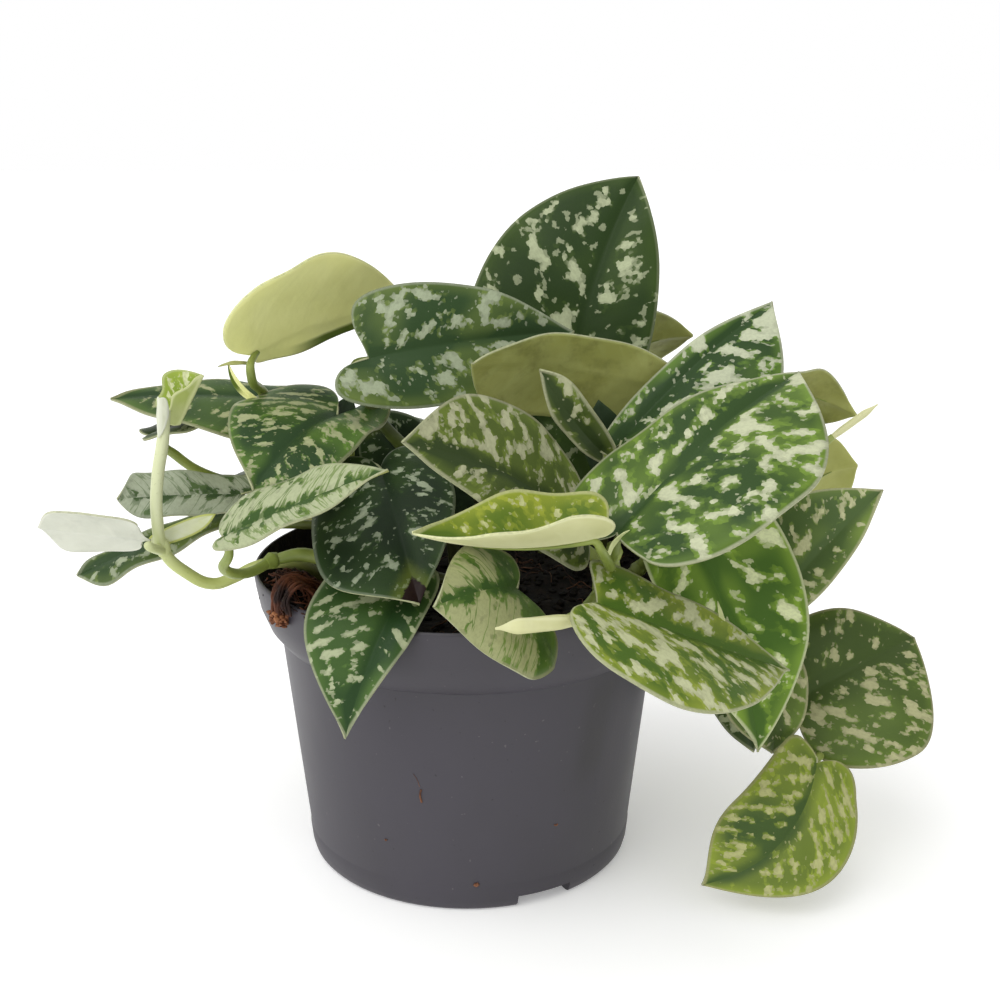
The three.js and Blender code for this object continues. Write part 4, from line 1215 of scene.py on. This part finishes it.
class VineMaker(bpy.types.Operator):
    """Grow the stems with their nodes, and a petiole to each blade"""

    bl_idname = "pothos.vines"
    bl_label = "Stems"

    # distance along the stalk in mm and share of the stem's radius at the swelling where a stalk leaves
    NODE = ((-1.2, 0.9), (0.6, 1.22), (3, 0.8))

    def execute(self, context):
        sizes = context.scene.pothos_stems
        green = stem_finish("petiole green", "9eab58", "76853a")
        pale = stem_finish("pale shoot", "b6bf72", "a2ad58", "d6dbb4")
        # painted shade: a darker copy of the stem green for the stems deep inside the plant
        shaded = stem_finish("shaded green", "5c6a30", "424e20")
        finishes = {"left_shoot": pale, "back_far": shaded, "centre": shaded, "front": shaded}
        for name, (foot, stem, petioles) in VINES.items():
            radius = (sizes.shoot_radius if name == "left_shoot" else sizes.stem_radius) / MM
            heights = (SOIL_TOP + 1 - sizes.hole_depth / MM, 76, 81.5)
            line = [(*foot, z, radius) for z in heights] + [(*p, radius) for p in stem]
            line[-1] = (*stem[-1], radius * 0.75)
            lines = [line]
            for leaf, points in petioles.items():
                lines.append(petiole_line(leaf, points, sizes))
                a = Vector(points[0])
                b = Vector(points[1]) if len(points) > 1 else a + Z_AXIS
                way = (b - a).normalized()
                lines.append([(*(a + way * at), radius * swell) for at, swell in self.NODE])
            piece = round_lines("stem_" + name, lines, sides=12)
            settle(piece, "stem_green", [finishes.get(name, green)], "vine_" + name)
        return {"FINISHED"}


class BladeMaker(bpy.types.Operator):
    """Grow every blade with its midrib groove, side veins, margin and silver marking"""

    bl_idname = "pothos.blades"
    bl_label = "Leaf blades"

    def execute(self, context):
        sizes = context.scene.pothos_leaves
        uppers = {name: leaf_finish("leaf " + name, look) for name, look in LOOKS.items()}
        unders = {name: under_finish("under " + name, look) for name, look in UNDERS.items()}
        rims = {name: edge_finish("edge " + name, look["edge"]) for name, look in UNDERS.items()}
        for k, (name, leaf) in enumerate(LEAVES.items()):
            piece = grow_blade("blade_" + name, leaf, sizes, 1.7 * k, sizes.rows, sizes.columns, 1)
            shell = thicken(piece, sizes.thickness)
            shell.material_offset, shell.material_offset_rim = 1, 2
            skins = [uppers[leaf["look"]], unders[leaf["under"]], rims[leaf["under"]]]
            settle(piece, frame_slot("leaf_" + name), skins, "leaf_" + name)
        return {"FINISHED"}


def frame_slot(node):
    """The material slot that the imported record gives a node."""
    parts = frame["record"]["subparts"]
    return next(part["material_slot"] for part in parts if part["node"] == node)


class SheathMaker(bpy.types.Operator):
    """Set the papery sheaths and spurs on their stalks, and the dark sheets of painted shade in the gaps"""

    bl_idname = "pothos.sheaths"
    bl_label = "Sheaths"

    THICKNESS = 0.2 * MM

    def execute(self, context):
        sizes = context.scene.pothos_leaves
        for k, (name, spec) in enumerate(SHEATHS.items()):
            skin = under_finish("sheath " + name, UNDERS[spec["finish"]])
            piece = grow_blade("sheath_" + name, spec, sizes, 80 + k, 16, 4, 0)
            thicken(piece, self.THICKNESS)
            settle(piece, "young_leaf", [skin])
        return {"FINISHED"}


class RollMaker(bpy.types.Operator):
    """Roll the young leaves that haven't opened"""

    bl_idname = "pothos.rolls"
    bl_label = "Rolled leaves"

    TURNS = 2.1
    THICKNESS = 0.25 * MM
    HALF_WIDTH = 8

    def execute(self, context):
        inside = leaf_finish("rolled leaf", LOOKS["gold"])
        outside = under_finish("rolled under", UNDERS["cream"])
        for k, (name, roll) in enumerate(ROLLS.items()):
            piece = self.roll("rolled_" + name, *roll, 50 + k)
            thicken(piece, self.THICKNESS)
            settle(piece, "young_leaf", [outside, inside], name)
        return {"FINISHED"}

    def roll(self, name, start, end, radius, seed):
        """A sheet wound round its axis, widest at a third of its length and pointed at the tip."""
        start, end = Vector(start), Vector(end)
        turn = (end - start).to_track_quat("Z", "Y").to_matrix()
        length = (end - start).length
        wide = self.HALF_WIDTH
        bm = bmesh.new()
        veins, tissue, reach, seeds, shares = map_layers(bm)
        bmesh.ops.create_grid(bm, x_segments=48, y_segments=24, size=1)
        for f in bm.faces:
            f.smooth = True
            for loop in f.loops:
                x, y = loop.vert.co.xy
                loop[veins].uv = loop[tissue].uv = (y * length / 2, x * wide)
                loop[reach].uv = (wide * (1 + x), wide * (1 - x))
        for v in bm.verts:
            s = (v.co.y + 1) / 2
            wind = (v.co.x + 1) / 2
            belly = radius * (0.7 + 0.3 * smooth(0, 0.3, s)) * (1 - smooth(0.72, 1, s) * 0.9)
            r = belly * (0.62 + 0.38 * wind)
            a = math.tau * self.TURNS * wind + 1.2 * s
            v[seeds], v[shares] = seed, s
            v.co = (start + turn @ Vector((r * math.cos(a), r * math.sin(a), s * length))) * MM
        return to_piece(name, bm)


class StageMaker(bpy.types.Operator):
    """Lay the pale floor and set up the soft light and the camera"""

    bl_idname = "pothos.stage"
    bl_label = "Stage"

    FLOOR_SIDE = 6.0
    SUN_WIDTH = math.radians(50)
    SUN_WAY = Vector((-0.5, -0.6, 1))
    # brightness of the surroundings on the left and on the right of the plant
    SIDES = (1.15, 0.5)

    def execute(self, context):
        look = context.scene.pothos_stage
        bm = bmesh.new()
        bmesh.ops.create_grid(bm, x_segments=12, y_segments=12, size=self.FLOOR_SIDE / 2)
        floor = to_piece("floor", bm)
        floor.data.materials.append(floor_finish("painted board", look.floor_glow))
        context.scene.world = self.surroundings(look)
        sun = bpy.data.lights.new("key", "SUN")
        sun.energy, sun.angle = look.key, self.SUN_WIDTH
        link_piece("key", sun).rotation_euler = self.SUN_WAY.to_track_quat("Z", "Y").to_euler()
        camera = link_piece("camera", bpy.data.cameras.new("camera"))
        camera.data.lens = look.lens
        camera.data.sensor_width = 36
        camera.data.clip_start = 0.01
        camera.location = (look.camera_side, -look.camera_reach, look.camera_height)
        camera.rotation_euler = (math.pi / 2 - look.camera_pitch, 0, 0)
        context.scene.camera = camera
        context.scene.view_settings.view_transform = "Standard"
        return {"FINISHED"}

    def surroundings(self, look):
        """White surroundings that light the plant more from the left than from the right."""
        world = bpy.data.worlds.new("pale surroundings")
        world.use_nodes = True
        nodes, links = world.node_tree.nodes, world.node_tree.links
        sky = nodes["Background"]
        sky.inputs["Color"].default_value = (1, 1, 1, 1)
        way = nodes.new("ShaderNodeSeparateXYZ")
        links.new(nodes.new("ShaderNodeTexCoord").outputs["Generated"], way.inputs[0])
        side = nodes.new("ShaderNodeMapRange")
        left, right = (look.sky * v for v in self.SIDES)
        for socket, value in (("From Min", -1), ("From Max", 1), ("To Min", left), ("To Max", right)):
            side.inputs[socket].default_value = value
        links.new(way.outputs["X"], side.inputs["Value"])
        seen = nodes.new("ShaderNodeLightPath").outputs["Is Camera Ray"]
        strength = nodes.new("ShaderNodeMath")
        strength.operation = "MAXIMUM"
        links.new(side.outputs[0], strength.inputs[0])
        links.new(seen, strength.inputs[1])
        links.new(strength.outputs[0], sky.inputs["Strength"])
        return world


class PothosPanel(bpy.types.Panel):
    """Sizes and steps of the potted pothos"""

    bl_idname = "VIEW3D_PT_pothos"
    bl_label = "Satin Pothos"
    bl_space_type = "VIEW_3D"
    bl_region_type = "UI"
    bl_category = "Pothos"

    def draw(self, context):
        for group, settings in SETTINGS.items():
            box = self.layout.box()
            box.label(text=settings.__name__)
            for name in settings.__annotations__:
                box.prop(getattr(context.scene, group), name)
        for maker in MAKERS:
            self.layout.operator(maker.bl_idname)


SETTINGS = {
    "pothos_pot": PotSizes,
    "pothos_leaves": LeafSizes,
    "pothos_stems": StemSizes,
    "pothos_soil": SoilSizes,
    "pothos_stage": StageLook,
}
MAKERS = (StageMaker, PotMaker, SoilMaker, RootMaker, VineMaker, BladeMaker, RollMaker, SheathMaker)


def register():
    for kind in (*SETTINGS.values(), *MAKERS, PothosPanel):
        bpy.utils.register_class(kind)
    for name, kind in SETTINGS.items():
        setattr(bpy.types.Scene, name, bpy.props.PointerProperty(type=kind))


def unregister():
    for name in SETTINGS:
        delattr(bpy.types.Scene, name)
    for kind in reversed((*SETTINGS.values(), *MAKERS, PothosPanel)):
        bpy.utils.unregister_class(kind)


def main():
    register()
    bpy.ops.pothos.stage()
    bpy.ops.pothos.pot()
    bpy.ops.pothos.soil()
    bpy.ops.pothos.roots()
    bpy.ops.pothos.vines()
    bpy.ops.pothos.blades()
    bpy.ops.pothos.rolls()
    bpy.ops.pothos.sheaths()


if __name__ == "__main__":
    main()
